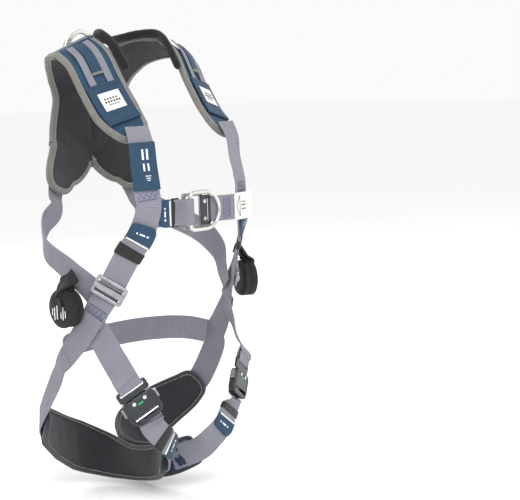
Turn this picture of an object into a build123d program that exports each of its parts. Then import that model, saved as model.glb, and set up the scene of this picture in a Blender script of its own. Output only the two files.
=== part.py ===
from build123d import *
import os
from math import cos, radians, sin

# Full-body safety harness, modelled in the shape it has when worn. Millimetres.
# +Z is up, the wearer faces -Y and the wearer's left is +X.
# The origin is the middle of the wearer's body at crotch height.

os.makedirs("parts", exist_ok=True)

# ---------------------------------------------------------------- driving sizes
WEBBING = 45.0            # standard load-bearing webbing
THICK = 2.4               # webbing thickness
GAP = 0.5                 # air between layers that only lie on each other
PAD_THICK = 14.0
SEAT_PAD_THICK = 12.0
POCKET_WIDTH = 62.0
LABEL_WIDTH = 42.0        # white labels, and the retrieval straps beside each other
STEPS = 3                 # stations put between two chosen ones

MAIN_LIFT = 9.5           # shoulder strap above the body at the hip
CHEST_STAND_OFF = 24.0    # and where it bridges over the chest
UNDER_LIFT = 4.2          # straps that pass below it
TAIL_STEP = THICK + GAP   # loose end above the strap that it lies on

# The body that the harness is shaped around: height, half width, front depth, back depth.
TORSO = [
    (-60, 178, 92, 108),
    (0, 178, 98, 124),
    (50, 177, 104, 132),
    (100, 172, 106, 124),
    (150, 165, 106, 108),
    (200, 158, 108, 98),
    (250, 154, 110, 96),
    (300, 158, 114, 104),
    (350, 168, 120, 116),
    (400, 178, 124, 128),
    (450, 184, 122, 136),
    (500, 186, 108, 138),
    (540, 180, 86, 136),
    (580, 160, 58, 128),
]
TORSO_SQUARENESS = 2.4
THIGH_AXIS = Vector(92, 10, 0)


# ------------------------------------------------------------------- body shape
def torso_size(height):
    """Half width, front depth and back depth of the body at a height."""
    rows = TORSO
    for low, high in zip(rows, rows[1:]):
        if height <= high[0] or high is rows[-1]:
            share = (height - low[0]) / (high[0] - low[0])
            return [a + (b - a) * share for a, b in zip(low[1:], high[1:])]


def on_torso(angle, height, lift):
    """A station on the body: angle from the front towards the wearer's left."""
    half, front, back = torso_size(height)
    side, ahead = sin(radians(angle)), cos(radians(angle))
    depth = front if ahead > 0 else back
    n = TORSO_SQUARENESS
    reach = ((abs(side) / half) ** n + (abs(ahead) / depth) ** n) ** (-1 / n)
    point = Vector(reach * side, -reach * ahead, height)
    outward = Vector(point.X / half**2, point.Y / depth**2, 0).normalized()
    return point + outward * lift, outward


def by_thigh(x, y, z, droop=0.0):
    """A station beside the left thigh, facing away from the thigh's axis."""
    point = Vector(x, y, z)
    away = Vector(x, y, 0) - THIGH_AXIS
    return point, (away.normalized() - Vector(0, 0, droop)).normalized()


def free(x, y, z, facing):
    """A station anywhere, with the way its outer face looks."""
    return Vector(x, y, z), Vector(*facing).normalized()


# ----------------------------------------------------------------- strap making
def smooth(stations, steps=STEPS):
    """Catmull-Rom stations through the chosen ones."""
    filled = []
    last = len(stations) - 1
    for i in range(last):
        four = [stations[max(i - 1, 0)], stations[i], stations[i + 1], stations[min(i + 2, last)]]
        for k in range(steps):
            filled.append(tuple(blend_four([s[j] for s in four], k / steps) for j in range(2)))
    filled.append(stations[last])
    return filled


def blend_four(p, t):
    """Catmull-Rom value between p[1] and p[2]."""
    a = p[1] * 2
    b = (p[2] - p[0]) * t
    c = (p[0] * 2 - p[1] * 5 + p[2] * 4 - p[3]) * t**2
    d = (p[1] * 3 - p[0] - p[2] * 3 + p[3]) * t**3
    return (a + b + c + d) * 0.5


def cross_planes(stations):
    """Planes square to the strap's run, x across it and y out of its face."""
    planes = []
    last = len(stations) - 1
    for i, (point, outward) in enumerate(stations):
        run = (stations[min(i + 1, last)][0] - stations[max(i - 1, 0)][0]).normalized()
        planes.append(Plane(origin=point, x_dir=outward.cross(run), z_dir=run))
    return planes


def ribbon(stations, width=WEBBING, thickness=THICK, lift=0.0, shift=0.0):
    """A flat solid lofted along its stations. width and shift are one number or one per station."""
    widths = width if isinstance(width, list) else [width] * len(stations)
    shifts = shift if isinstance(shift, list) else [shift] * len(stations)
    with BuildPart() as strap:
        for plane, across, aside in zip(cross_planes(stations), widths, shifts):
            with BuildSketch(plane):
                with Locations((aside, lift)):
                    Rectangle(across, thickness)
        loft(ruled=True)
    return strap


def spread(widths, steps=STEPS):
    """Widths between the chosen ones, as many as smooth() makes stations."""
    filled = []
    for a, b in zip(widths, widths[1:]):
        filled += [a + (b - a) * k / steps for k in range(steps)]
    return filled + [widths[-1]]


def edge_stations(edges):
    """Stations and widths of a pad from pairs of points on its inner and outer edges."""
    inner = [Vector(*pair[0]) for pair in edges]
    outer = [Vector(*pair[1]) for pair in edges]
    middles = [(a + b) * 0.5 for a, b in zip(inner, outer)]
    stations = []
    last = len(edges) - 1
    for i, middle in enumerate(middles):
        run = middles[min(i + 1, last)] - middles[max(i - 1, 0)]
        face = run.cross(outer[i] - inner[i]).normalized()
        stations.append((middle, face))
    return stations, [(b - a).length for a, b in zip(inner, outer)]


def face_plane(line, index, lift):
    """Plane on a strap's face at a station: x across it, y back up its run, z outwards."""
    section = cross_planes(line)[index]
    here = section.from_local_coords((0, lift, 0))
    return Plane(origin=here, x_dir=section.x_dir, z_dir=section.y_dir)


def save(name, piece):
    piece.part.label = name
    export_step(piece.part, f"parts/{name}.step")


def turned(left):
    """The mirror image, on the wearer's right, of a piece on the left."""
    with BuildPart() as right:
        mirror(left.part, about=Plane.YZ)
    return right


def save_pair(name, left):
    """The left piece, and its mirror image on the wearer's right."""
    save(f"{name}_left", left)
    save(f"{name}_right", turned(left))


def save_group(name, pieces, mirrored):
    """Alike pieces in one node, the mirrored ones once on each side."""
    with BuildPart() as group:
        for piece in pieces:
            add(piece.part)
        for piece in mirrored:
            add(piece.part)
            mirror(piece.part, about=Plane.YZ)
    save(name, group)


# --------------------------------------------------------- shoulder and back pads
# Edges of the left half, neck side first, from the back's lobe up to the shoulder's top.
YOKE_EDGES = [
    ((66, 137, 426), (118, 122, 424)),
    ((44, 146, 456), (120, 130, 458)),
    ((-4, 154, 492), (106, 138, 498)),
    ((-4, 157, 540), (94, 146, 540)),
    ((-4, 154, 592), (84, 146, 594)),
    ((-4, 138, 640), (98, 136, 638)),
    ((22, 106, 684), (122, 112, 662)),
    ((58, 76, 700), (142, 80, 670)),
    ((76, 40, 702), (150, 48, 668)),
]
# From the shoulder's top down the chest to the pad's rounded tip.
SHOULDER_EDGES = [
    ((77, 30, 700), (151, 38, 665)),
    ((74, 0, 679), (152, 14, 646)),
    ((71, -34, 628), (150, -12, 604)),
    ((68, -69, 580), (149, -44, 562)),
    ((71, -96, 546), (142, -76, 538)),
    ((88, -108, 522), (124, -98, 518)),
]

yoke_stations, yoke_widths = edge_stations(YOKE_EDGES)
yoke_line = smooth(yoke_stations)
half_yoke = ribbon(yoke_line, spread(yoke_widths), PAD_THICK)
with BuildPart() as back_yoke_pad:
    add(half_yoke.part)
    mirror(half_yoke.part, about=Plane.YZ)
save("back_yoke_pad", back_yoke_pad)

shoulder_stations, shoulder_widths = edge_stations(SHOULDER_EDGES)
pad_line = smooth(shoulder_stations)
shoulder_pad = ribbon(pad_line, spread(shoulder_widths), PAD_THICK)
save_pair("shoulder_pad", shoulder_pad)

# Ripstop cover on the back pad, from its pocket edge below the dorsal ring to a hem on each lobe.
PANEL_THICK = 3.0
PANEL_INSET = 9.0         # from the pad's edges
PANEL_CLEAR = 1.6         # clears the ridge where the pad's halves meet
panel_lift = PAD_THICK / 2 + PANEL_CLEAR + PANEL_THICK / 2
panel_line = yoke_line[3:13]
panel_widths = []
panel_shifts = []
for plane, across in zip(cross_planes(panel_line), spread(yoke_widths)[3:13]):
    inner_edge = plane.from_local_coords((-across / 2, 0, 0))
    inner_inset = PANEL_INSET if inner_edge.X > PANEL_INSET / 2 else 0
    panel_widths.append(across - inner_inset - PANEL_INSET)
    panel_shifts.append((inner_inset - PANEL_INSET) / 2)
half_panel = ribbon(panel_line, panel_widths, PANEL_THICK, panel_lift, panel_shifts)
with BuildPart() as back_panel:
    add(half_panel.part)
    mirror(half_panel.part, about=Plane.YZ)
save("back_panel", back_panel)

# Fleece roll that keeps the pads' edge off the neck.
COLLAR_HEIGHT = 16.0
COLLAR_THICK = 13.0
collar_left = [
    free(0, 80, 697, (0, 1, 0.6)),
    free(25, 77, 702, (0.3, 1, 0.6)),
    free(50, 58, 708, (0.7, 0.6, 0.6)),
    free(66, 27, 707, (1, 0.2, 0.6)),
    free(64, -2, 687, (1, -0.3, 0.6)),
    free(61, -34, 643, (1, -0.6, 0.3)),
]
half_collar = ribbon(smooth(collar_left), COLLAR_HEIGHT, COLLAR_THICK)
with BuildPart() as neck_collar:
    add(half_collar.part)
    mirror(half_collar.part, about=Plane.YZ)
save("neck_collar", neck_collar)

# What lies on the front of each shoulder pad.
POCKET_THICK = 5.0
pocket_lift = PAD_THICK / 2 + GAP + POCKET_THICK / 2
pocket = ribbon(pad_line[6:12], POCKET_WIDTH, POCKET_THICK, pocket_lift)
save_group("label_pockets", [], [pocket])

LABEL_THICK = 1.0
label_lift = pocket_lift + POCKET_THICK / 2 + GAP + LABEL_THICK / 2
size_label = ribbon(pad_line[7:10], LABEL_WIDTH, LABEL_THICK, label_lift)
save_group("size_labels", [], [size_label])

loop_lift = PAD_THICK / 2 + GAP + THICK / 2
retrieval_loop = ribbon(pad_line[1:6], LABEL_WIDTH, THICK, loop_lift)
save_group("retrieval_loops", [], [retrieval_loop])

# --------------------------------------------------- straps over chest and flanks
shoulder_route = [
    free(105, -104, 547, (0.2, -1, 0.5)),
    free(108, -117, 520, (0.3, -1, 0.15)),
    on_torso(45, 484, 22),
    on_torso(43, 440, CHEST_STAND_OFF),
    on_torso(42.3, 408, CHEST_STAND_OFF),
    on_torso(47, 366, 23),
    on_torso(55, 328, 15),
    on_torso(66.5, 271, 10),
    on_torso(73.5, 243, MAIN_LIFT),
    on_torso(80, 212, MAIN_LIFT),
]
shoulder_line = smooth(shoulder_route)
save_pair("shoulder_strap", ribbon(shoulder_line))

TAG_THICK = 1.6
TAG_WIDTH = 48.0
KEEPER_WIDTH = 50.0
SLEEVE_THICK = 1.4
sleeve_lift = THICK / 2 + GAP + SLEEVE_THICK / 2
strap_sleeve = ribbon(shoulder_line[3:10], TAG_WIDTH, SLEEVE_THICK, sleeve_lift)
save("strap_sleeve", turned(strap_sleeve))

# The loose end comes back up over the strap from the adjuster.
save_pair("torso_tail", ribbon(shoulder_line[15:20], WEBBING, THICK, TAIL_STEP))

over_strap = THICK / 2 + GAP + TAG_THICK / 2
over_tail = over_strap + TAIL_STEP
torso_tag = ribbon(shoulder_line[14:17], TAG_WIDTH, TAG_THICK, over_tail)
torso_keeper = ribbon(shoulder_line[17:19], KEEPER_WIDTH, TAG_THICK, over_tail)

# --------------------------------------------------------------- torso adjusters
ADJUSTER_WIDTH = 60.0
ADJUSTER_LENGTH = 36.0
ADJUSTER_THICK = 4.0
ADJUSTER_RIM = 6.0
ADJUSTER_CORNER = 6.0
ADJUSTER_LIFT = THICK / 2 + 2.0 + ADJUSTER_THICK / 2
ADJUSTER_STATION = 21
SLIDE_BAR_LENGTH = 56.0
SLIDE_BAR_WIDTH = 10.0
SLIDE_BAR_THICK = 2.6
SLIDE_BAR_STEP = ADJUSTER_THICK / 2 + 0.3

adjuster_plane = face_plane(shoulder_line, ADJUSTER_STATION, ADJUSTER_LIFT)
with BuildPart() as torso_adjuster_frame:
    with BuildSketch(adjuster_plane.offset(-ADJUSTER_THICK / 2)):
        RectangleRounded(ADJUSTER_WIDTH, ADJUSTER_LENGTH, ADJUSTER_CORNER)
        RectangleRounded(
            ADJUSTER_WIDTH - 2 * ADJUSTER_RIM, ADJUSTER_LENGTH - 2 * ADJUSTER_RIM, ADJUSTER_CORNER / 3,
            mode=Mode.SUBTRACT,
        )
    extrude(amount=ADJUSTER_THICK)
    fillet(torso_adjuster_frame.edges().filter_by(GeomType.LINE), 1.0)
save_pair("torso_adjuster_frame", torso_adjuster_frame)

with BuildPart() as torso_adjuster_bar:
    with BuildSketch(adjuster_plane.offset(SLIDE_BAR_STEP)):
        RectangleRounded(SLIDE_BAR_LENGTH, SLIDE_BAR_WIDTH, 3)
    extrude(amount=SLIDE_BAR_THICK)
save_pair("torso_adjuster_bar", torso_adjuster_bar)

# ------------------------------------------------------------------- chest strap
CHEST_Z = 398.0
CHEST_LIFT = 13.0         # at the middle of the chest
OVER_SHOULDER = 36.0      # where the left chest strap lies on the shoulder strap
BELOW_SHOULDER = 17.0     # where the right one starts under it
CHEST_Y = -(torso_size(CHEST_Z)[1] + CHEST_LIFT)


def chest_station(angle, lift):
    return on_torso(angle, CHEST_Z, lift)


chest_right_line = smooth([
    chest_station(-49, BELOW_SHOULDER),
    chest_station(-35, 17),
    chest_station(-28, 16.5),
    chest_station(-20, 15),
])
chest_left_line = smooth([
    chest_station(12, 15),
    chest_station(30, 30),
    chest_station(48, OVER_SHOULDER),
])
save("chest_strap_left", ribbon(chest_left_line))
chest_tag = ribbon(chest_right_line[3:7], TAG_WIDTH, TAG_THICK, over_strap)
chest_keeper = ribbon(chest_right_line[7:10], KEEPER_WIDTH, TAG_THICK, over_strap)
save("chest_label", ribbon(chest_left_line[3:7], TAG_WIDTH, TAG_THICK, over_strap))

# The right strap's loop holds a frame; the left strap's hook plate clips into it.
FRAME_LEFT = -38.0
FRAME_RIGHT = 8.0
FRAME_HEIGHT = 62.0
FRAME_BAR = 6.0
FRAME_THICK = 5.0
frame_y = CHEST_Y - 1.5
chest_plane = Plane(origin=(0, frame_y, CHEST_Z), x_dir=(1, 0, 0), z_dir=(0, -1, 0))
frame_middle = (FRAME_LEFT + FRAME_RIGHT) / 2
with BuildPart() as chest_frame:
    with BuildSketch(chest_plane.offset(-FRAME_THICK / 2)):
        with Locations((frame_middle, 0)):
            RectangleRounded(FRAME_RIGHT - FRAME_LEFT, FRAME_HEIGHT, 5)
            RectangleRounded(
                FRAME_RIGHT - FRAME_LEFT - 2 * FRAME_BAR, FRAME_HEIGHT - 2 * FRAME_BAR, 2,
                mode=Mode.SUBTRACT,
            )
    extrude(amount=FRAME_THICK)
    fillet(chest_frame.edges().group_by(Axis.Y)[0], 1.4)
save("chest_frame", chest_frame)

PLATE_THICK = 3.0
PLATE_X = 12.0
PLATE_WIDTH = 22.0
PLATE_HEIGHT = 52.0
PLATE_SLOT = (40.0, 4.0)
PLATE_SLOT_X = 17.0
PLATE_RIVET_R = 2.0
PLATE_RIVET_SPOTS = [(8, 15), (8, -15)]
RIVET_CLEAR = 0.05
RIVET_HEAD_R = 3.4
RIVET_HEAD_THICK = 1.2
plate_lift = FRAME_THICK / 2 + GAP
with BuildPart() as chest_hook_plate:
    with BuildSketch(chest_plane.offset(plate_lift)):
        with Locations((PLATE_X, 0)):
            RectangleRounded(PLATE_WIDTH, PLATE_HEIGHT, 4)
        with Locations((PLATE_SLOT_X, 0)):
            SlotOverall(*PLATE_SLOT, rotation=90, mode=Mode.SUBTRACT)
        with Locations(*PLATE_RIVET_SPOTS):
            Circle(PLATE_RIVET_R + RIVET_CLEAR, mode=Mode.SUBTRACT)
    extrude(amount=PLATE_THICK)
save("chest_hook_plate", chest_hook_plate)

with BuildPart() as chest_rivets:
    with BuildSketch(chest_plane.offset(plate_lift + 0.2)):
        with Locations(*PLATE_RIVET_SPOTS):
            Circle(PLATE_RIVET_R)
    extrude(amount=PLATE_THICK)
    with BuildSketch(chest_plane.offset(plate_lift + PLATE_THICK + 0.1)):
        with Locations(*PLATE_RIVET_SPOTS):
            Circle(RIVET_HEAD_R)
    extrude(amount=RIVET_HEAD_THICK)
save("chest_rivets", chest_rivets)

# Attachment link: a D that swings on its straight bar, in front of the frame.
LINK_R = 3.5
LINK_BAR_X = -30.0
LINK_END_X = 38.0
LINK_HALF = 32.0
link_lift = FRAME_THICK / 2 + GAP + PLATE_THICK + 1.6 + GAP + LINK_R
link_plane = chest_plane.offset(link_lift)
arc_start = LINK_END_X - LINK_HALF
straight_end = LINK_BAR_X + 20
with BuildPart() as chest_d_link:
    with BuildLine(link_plane) as link_path:
        FilletPolyline(
            (straight_end, LINK_HALF), (LINK_BAR_X, LINK_HALF), (LINK_BAR_X, -LINK_HALF),
            (straight_end, -LINK_HALF), radius=8,
        )
        Line((straight_end, -LINK_HALF), (arc_start, -LINK_HALF))
        ThreePointArc((arc_start, -LINK_HALF), (LINK_END_X, 0), (arc_start, LINK_HALF))
        Line((arc_start, LINK_HALF), (straight_end, LINK_HALF))
    with BuildSketch(Plane(origin=link_path.line @ 0, z_dir=link_path.line % 0)):
        Circle(LINK_R)
    sweep()
save("chest_d_link", chest_d_link)

# The right strap, with the webbing tube that the link's straight bar turns in.
LINK_CLEAR = 0.3
link_y = frame_y - link_lift
tube_plane = Plane(origin=(LINK_BAR_X, link_y, CHEST_Z - WEBBING / 2))
with BuildPart() as chest_loop_strap:
    add(ribbon(chest_right_line).part)
    with BuildSketch(tube_plane):
        Circle(LINK_R + LINK_CLEAR + THICK)
    extrude(amount=WEBBING)
    strap_end = chest_right_line[-1][0]
    tube_end = Vector(LINK_BAR_X - LINK_R - 1.5, link_y, CHEST_Z)
    facing = (-0.2, -1, 0)
    add(ribbon([(strap_end, Vector(*facing)), (tube_end, Vector(*facing))]).part)
    with BuildSketch(tube_plane):
        Circle(LINK_R + LINK_CLEAR)
    extrude(amount=WEBBING, mode=Mode.SUBTRACT)
save("chest_loop_strap", chest_loop_strap)

# -------------------------------------------------------------------- dorsal ring
RING_Y = 170.0
RING_BAR_Z = 622.0
EYE_INNER_R = 25.0
EYE_INNER_HEIGHT = 62.0
EYE_Z = 60.0              # middle of the eye above the lower bar
RING_HALF = 39.0
RING_SHOULDER_Z = 58.0
RING_WAIST = (30.0, 12.0)
RING_FOOT = (33.0, -4.0)
RING_TOP = 100.0
RING_THICK = 10.0
WINDOW_WIDTH = 50.0
WINDOW_HEIGHT = 13.0
WINDOW_Z = 11.5
ring_plane = Plane(origin=(0, RING_Y, RING_BAR_Z), x_dir=(-1, 0, 0), z_dir=(0, 1, 0))
with BuildPart() as dorsal_d_ring:
    with BuildSketch(ring_plane.offset(-RING_THICK / 2)):
        with BuildLine():
            Polyline(
                (-RING_FOOT[0], RING_FOOT[1]), (-RING_WAIST[0], RING_WAIST[1]),
                (-RING_HALF, RING_SHOULDER_Z),
            )
            ThreePointArc((-RING_HALF, RING_SHOULDER_Z), (0, RING_TOP), (RING_HALF, RING_SHOULDER_Z))
            Polyline(
                (RING_HALF, RING_SHOULDER_Z), RING_WAIST, RING_FOOT, (-RING_FOOT[0], RING_FOOT[1])
            )
        make_face()
        with Locations((0, EYE_Z)):
            Ellipse(EYE_INNER_R, EYE_INNER_HEIGHT / 2, mode=Mode.SUBTRACT)
        with Locations((0, WINDOW_Z)):
            RectangleRounded(WINDOW_WIDTH, WINDOW_HEIGHT, 3, mode=Mode.SUBTRACT)
    extrude(amount=RING_THICK)
    fillet(dorsal_d_ring.edges().filter_by(Plane.XZ), 2.4)
save("dorsal_d_ring", dorsal_d_ring)

# Webbing sleeve around the ring's lower bar, sewn to the back pad.
SLEEVE_INNER = 7.6
SLEEVE_OUTER = 10.0
SLEEVE_WIDTH = 44.0
RING_AXIS_Z = RING_BAR_Z + 0.5
sleeve_plane = Plane(origin=(-SLEEVE_WIDTH / 2, RING_Y, RING_AXIS_Z), z_dir=(1, 0, 0))
sewn_line = [free(0, 162, 624, (0, 1, 0)), free(0, 167, 599, (0, 1, 0.1))]
with BuildPart() as dorsal_loop:
    with BuildSketch(sleeve_plane):
        Circle(SLEEVE_OUTER)
    extrude(amount=SLEEVE_WIDTH)
    add(ribbon(sewn_line, SLEEVE_WIDTH).part)
    with BuildSketch(sleeve_plane):
        Circle(SLEEVE_INNER)
    extrude(amount=SLEEVE_WIDTH, mode=Mode.SUBTRACT)
save("dorsal_loop", dorsal_loop)

# ---------------------------------------------------------------------- seat pads
seat_route = [
    by_thigh(184, 74, 44, 0.0),
    by_thigh(168, 104, 14, 0.1),
    by_thigh(124, 134, -18, 0.4),
    by_thigh(70, 142, -50, 0.5),
    by_thigh(29, 116, -72, 0.3),
    by_thigh(15, 68, -80, 0.15),
    by_thigh(14, 18, -76, 0.0),
    by_thigh(20, -28, -64, 0.0),
    by_thigh(42, -70, -44, 0.0),
]
SEAT_WIDTHS = [48, 74, 92, 96, 80, 66, 64, 62, 56]
seat_line = smooth(seat_route)
save_pair("seat_pad", ribbon(seat_line, spread(SEAT_WIDTHS), SEAT_PAD_THICK))


def on_seat(index, lift=GAP):
    """A station for a strap that is sewn down on the outside of the seat pad."""
    section = cross_planes(seat_line)[index]
    return section.from_local_coords((0, (SEAT_PAD_THICK + THICK) / 2 + lift, 0)), section.y_dir


# ---------------------------------------------------------- straps over the back
diagonal_route = [
    free(86, 146, 444, (0.24, 1, 0)),
    free(96, 140, 421, (0.35, 1, 0)),
    on_torso(139, 396, 16),
    on_torso(126, 372, 26),
    on_torso(106, 338, 30),
    on_torso(91, 304, 20),
    on_torso(79, 268, UNDER_LIFT),
    on_torso(73, 242, 3.2),
]
save_pair("back_diagonal_strap", ribbon(smooth(diagonal_route)))

LOWER_BACK_LIFT = 6.0
lower_back_left = [
    on_torso(180, 152, LOWER_BACK_LIFT),
    on_torso(152, 153, LOWER_BACK_LIFT),
    on_torso(128, 152, LOWER_BACK_LIFT),
    on_torso(112, 149, LOWER_BACK_LIFT),
    on_torso(100, 143, LOWER_BACK_LIFT),
]
half_lower_back = ribbon(smooth(lower_back_left))
with BuildPart() as lower_back_strap:
    add(half_lower_back.part)
    mirror(half_lower_back.part, about=Plane.YZ)
save("lower_back_strap", lower_back_strap)

HIP_LIFT = MAIN_LIFT + TAIL_STEP + 1.6
hip_route = [
    on_torso(77.5, 226, HIP_LIFT),
    on_torso(84, 195, HIP_LIFT),
    on_torso(91, 165, HIP_LIFT + 2),
    on_torso(97, 138, HIP_LIFT + 6),
    on_torso(100, 108, 24),
    on_seat(0, 3.5),
    on_seat(2, 3.0),
    on_seat(4, 3.0),
]
save_pair("hip_strap", ribbon(smooth(hip_route)))

# ------------------------------------------------------------------- gear pouches
POUCH_R = 34.0
POUCH_DEPTH = 30.0
POUCH_EDGE = 8.0
PULL_SPOT = (-6.0, 14.0)  # the pin that the zip pull hangs from, on the pouch's face
PULL_LIFT = 2.2
PULL_LENGTH = 22.0
PULL_WIDTH = 7.0
PULL_THICK = 2.0
PULL_PIN_R = 1.5
PULL_CLEAR = 0.06


def pouch_place(angle, height, foot):
    """Plane of a pouch's back face, x ahead, y up and z away from the body."""
    point, face = on_torso(angle, height, foot)
    return Plane(origin=point, x_dir=Vector(0, 0, 1).cross(face), z_dir=face)


def make_pouch(plane):
    """Round pouch with the pin that its zip pull swings on."""
    with BuildPart() as pouch:
        with BuildSketch(plane):
            Circle(POUCH_R)
        extrude(amount=POUCH_DEPTH)
        fillet(pouch.edges(), POUCH_EDGE)
        with BuildSketch(plane.offset(POUCH_DEPTH - 1)):
            with Locations(PULL_SPOT):
                Circle(PULL_PIN_R)
        extrude(amount=1 + PULL_LIFT + PULL_THICK)
    return pouch


def make_pull(plane):
    """Zip pull, a flat tab with its eye round the pin."""
    pin_x, pin_y = PULL_SPOT
    with BuildPart() as pull:
        with BuildSketch(plane.offset(POUCH_DEPTH + PULL_LIFT - PULL_THICK / 2)):
            with Locations((pin_x, pin_y - PULL_LENGTH / 2 + 3)):
                SlotOverall(PULL_LENGTH, PULL_WIDTH, rotation=90)
            with Locations(PULL_SPOT):
                Circle(PULL_PIN_R + PULL_CLEAR, mode=Mode.SUBTRACT)
        extrude(amount=PULL_THICK)
    return pull


# Each pouch rides where its diagonal strap carries it, further forward on the left.
pouch_left_plane = pouch_place(79, 249, 36)
pouch_right_plane = pouch_place(90, 239, 21)
save("gear_pouch_left", make_pouch(pouch_left_plane))
save("zip_pull_left", make_pull(pouch_left_plane))
save("gear_pouch_right", turned(make_pouch(pouch_right_plane)))
save("zip_pull_right", turned(make_pull(pouch_right_plane)))

# --------------------------------------------------------------------- leg straps
leg_upper_route = [
    on_torso(78, 205, UNDER_LIFT),
    on_torso(71, 176, UNDER_LIFT + 2),
    on_torso(65.5, 148, UNDER_LIFT + 5),
]
save_pair("leg_strap_upper", ribbon(smooth(leg_upper_route)))


def strap_plane(angle, height, lift, ahead_angle, ahead_height):
    """Plane on the body: x across the strap, y up along it and z out of its face."""
    here, outward = on_torso(angle, height, lift)
    ahead = on_torso(ahead_angle, ahead_height, lift)[0]
    across = (ahead - here).cross(outward)
    return Plane(origin=here, x_dir=across, z_dir=outward)


# Buckle: x across the strap, y up the strap towards the hip, z out of its face.
BUCKLE_LIFT = 17.0
BUCKLE_WIDTH = 64.0
BUCKLE_LENGTH = 46.0
BUCKLE_THICK = 13.0
BUCKLE_CORNER = 11.0
BUCKLE_WALL = 2.5
BLADE_WIDTH = 36.0
BLADE_THICK = 3.0
BLADE_DEPTH = 26.0
TAB_WIDTH = 13.0
TAB_LENGTH = 15.0
TAB_PROUD = 3.5
TAB_Y = 8.0
TAB_CLEAR = 0.3
ADJUST_BAR_R = 3.4
ADJUST_SLOT = 10.0
ADJUST_CLEAR = 0.3
BAR_SPAN = 46.0
GROOVE_SPAN = 56.0
GROOVE_HEIGHT = 3.0
RIVET_SPOTS = [(-11, 15), (11, 15)]
RIVET_R = 1.5
SPRING_WALL = 0.5
SPRING_SIZE = 4.0
SPRING_POCKET = 6.0
SPRING_SPOTS = [(x, TAB_Y - TAB_LENGTH / 2 - SPRING_SIZE / 2 - 0.8) for x in (-25, 25)]
buckle_plane = strap_plane(51, 66, BUCKLE_LIFT, 58, 105)
buckle_out = Axis(buckle_plane.origin, buckle_plane.z_dir)
cavity_height = BUCKLE_THICK - 2 * BUCKLE_WALL
buckle_top = BUCKLE_LENGTH / 2
adjust_y = -buckle_top + 4 + ADJUST_SLOT / 2
blade_foot = buckle_top - BLADE_DEPTH

with BuildPart() as leg_buckle_body:
    with BuildSketch(buckle_plane.offset(-BUCKLE_THICK / 2)):
        RectangleRounded(BUCKLE_WIDTH, BUCKLE_LENGTH, BUCKLE_CORNER)
    extrude(amount=BUCKLE_THICK)
    fillet(leg_buckle_body.faces().sort_by(buckle_out)[-1].edges(), 2.0)
    fillet(leg_buckle_body.faces().sort_by(buckle_out)[0].edges(), 1.0)
    with BuildSketch(buckle_plane.offset(-cavity_height / 2)):
        with Locations((0, buckle_top - BLADE_DEPTH / 2)):
            Rectangle(BLADE_WIDTH + 2, BLADE_DEPTH + 2)
        with Locations((0, TAB_Y)):
            Rectangle(BUCKLE_WIDTH + 2, TAB_LENGTH + 2 * TAB_CLEAR)
        with Locations(*SPRING_SPOTS):
            Rectangle(SPRING_POCKET, SPRING_POCKET)
    extrude(amount=cavity_height, mode=Mode.SUBTRACT)
    with BuildSketch(buckle_plane.offset(-BUCKLE_THICK / 2)):
        with Locations((0, adjust_y)):
            Rectangle(BAR_SPAN + 1, ADJUST_SLOT)
    extrude(amount=BUCKLE_THICK, mode=Mode.SUBTRACT)
    with BuildSketch(buckle_plane.offset(-GROOVE_HEIGHT / 2)):
        with Locations((0, adjust_y)):
            Rectangle(GROOVE_SPAN, ADJUST_SLOT)
    extrude(amount=GROOVE_HEIGHT, mode=Mode.SUBTRACT)
    with BuildSketch(buckle_plane.offset(cavity_height / 2 - 0.5)):
        with Locations(*RIVET_SPOTS):
            Circle(RIVET_R + RIVET_CLEAR)
    extrude(amount=BUCKLE_WALL + 1, mode=Mode.SUBTRACT)
save_pair("leg_buckle_body", leg_buckle_body)

with BuildPart() as leg_rivets:
    with BuildSketch(buckle_plane.offset(cavity_height / 2)):
        with Locations(*RIVET_SPOTS):
            Circle(RIVET_R)
    extrude(amount=BUCKLE_WALL + 0.1)
    with BuildSketch(buckle_plane.offset(BUCKLE_THICK / 2 + 0.05)):
        with Locations(*RIVET_SPOTS):
            Circle(RIVET_HEAD_R)
    extrude(amount=RIVET_HEAD_THICK)
save_group("leg_buckle_rivets", [], [leg_rivets])

# Tongue: a steel blade in the body, and a head above it with the slot for the webbing.
HEAD_WIDTH = 60.0
HEAD_LENGTH = 20.0
HEAD_THICK = 4.0
SLOT_WIDTH = 48.0
SLOT_HEIGHT = 6.0
HEAD_GAP = 1.5
head_y = buckle_top + HEAD_GAP + HEAD_LENGTH / 2
slot_y = head_y + 3
with BuildPart() as leg_tongue:
    with BuildSketch(buckle_plane.offset(-BLADE_THICK / 2)):
        with Locations((0, (blade_foot + 1 + head_y) / 2)):
            Rectangle(BLADE_WIDTH, head_y - blade_foot - 1)
    extrude(amount=BLADE_THICK)
    with BuildSketch(buckle_plane.offset(-HEAD_THICK / 2)):
        with Locations((0, head_y)):
            RectangleRounded(HEAD_WIDTH, HEAD_LENGTH, 5)
    extrude(amount=HEAD_THICK)
    with BuildSketch(buckle_plane.offset(-HEAD_THICK)):
        with Locations((0, slot_y)):
            RectangleRounded(SLOT_WIDTH, SLOT_HEIGHT, 2)
    extrude(amount=2 * HEAD_THICK, mode=Mode.SUBTRACT)
save_pair("leg_tongue", leg_tongue)

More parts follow.
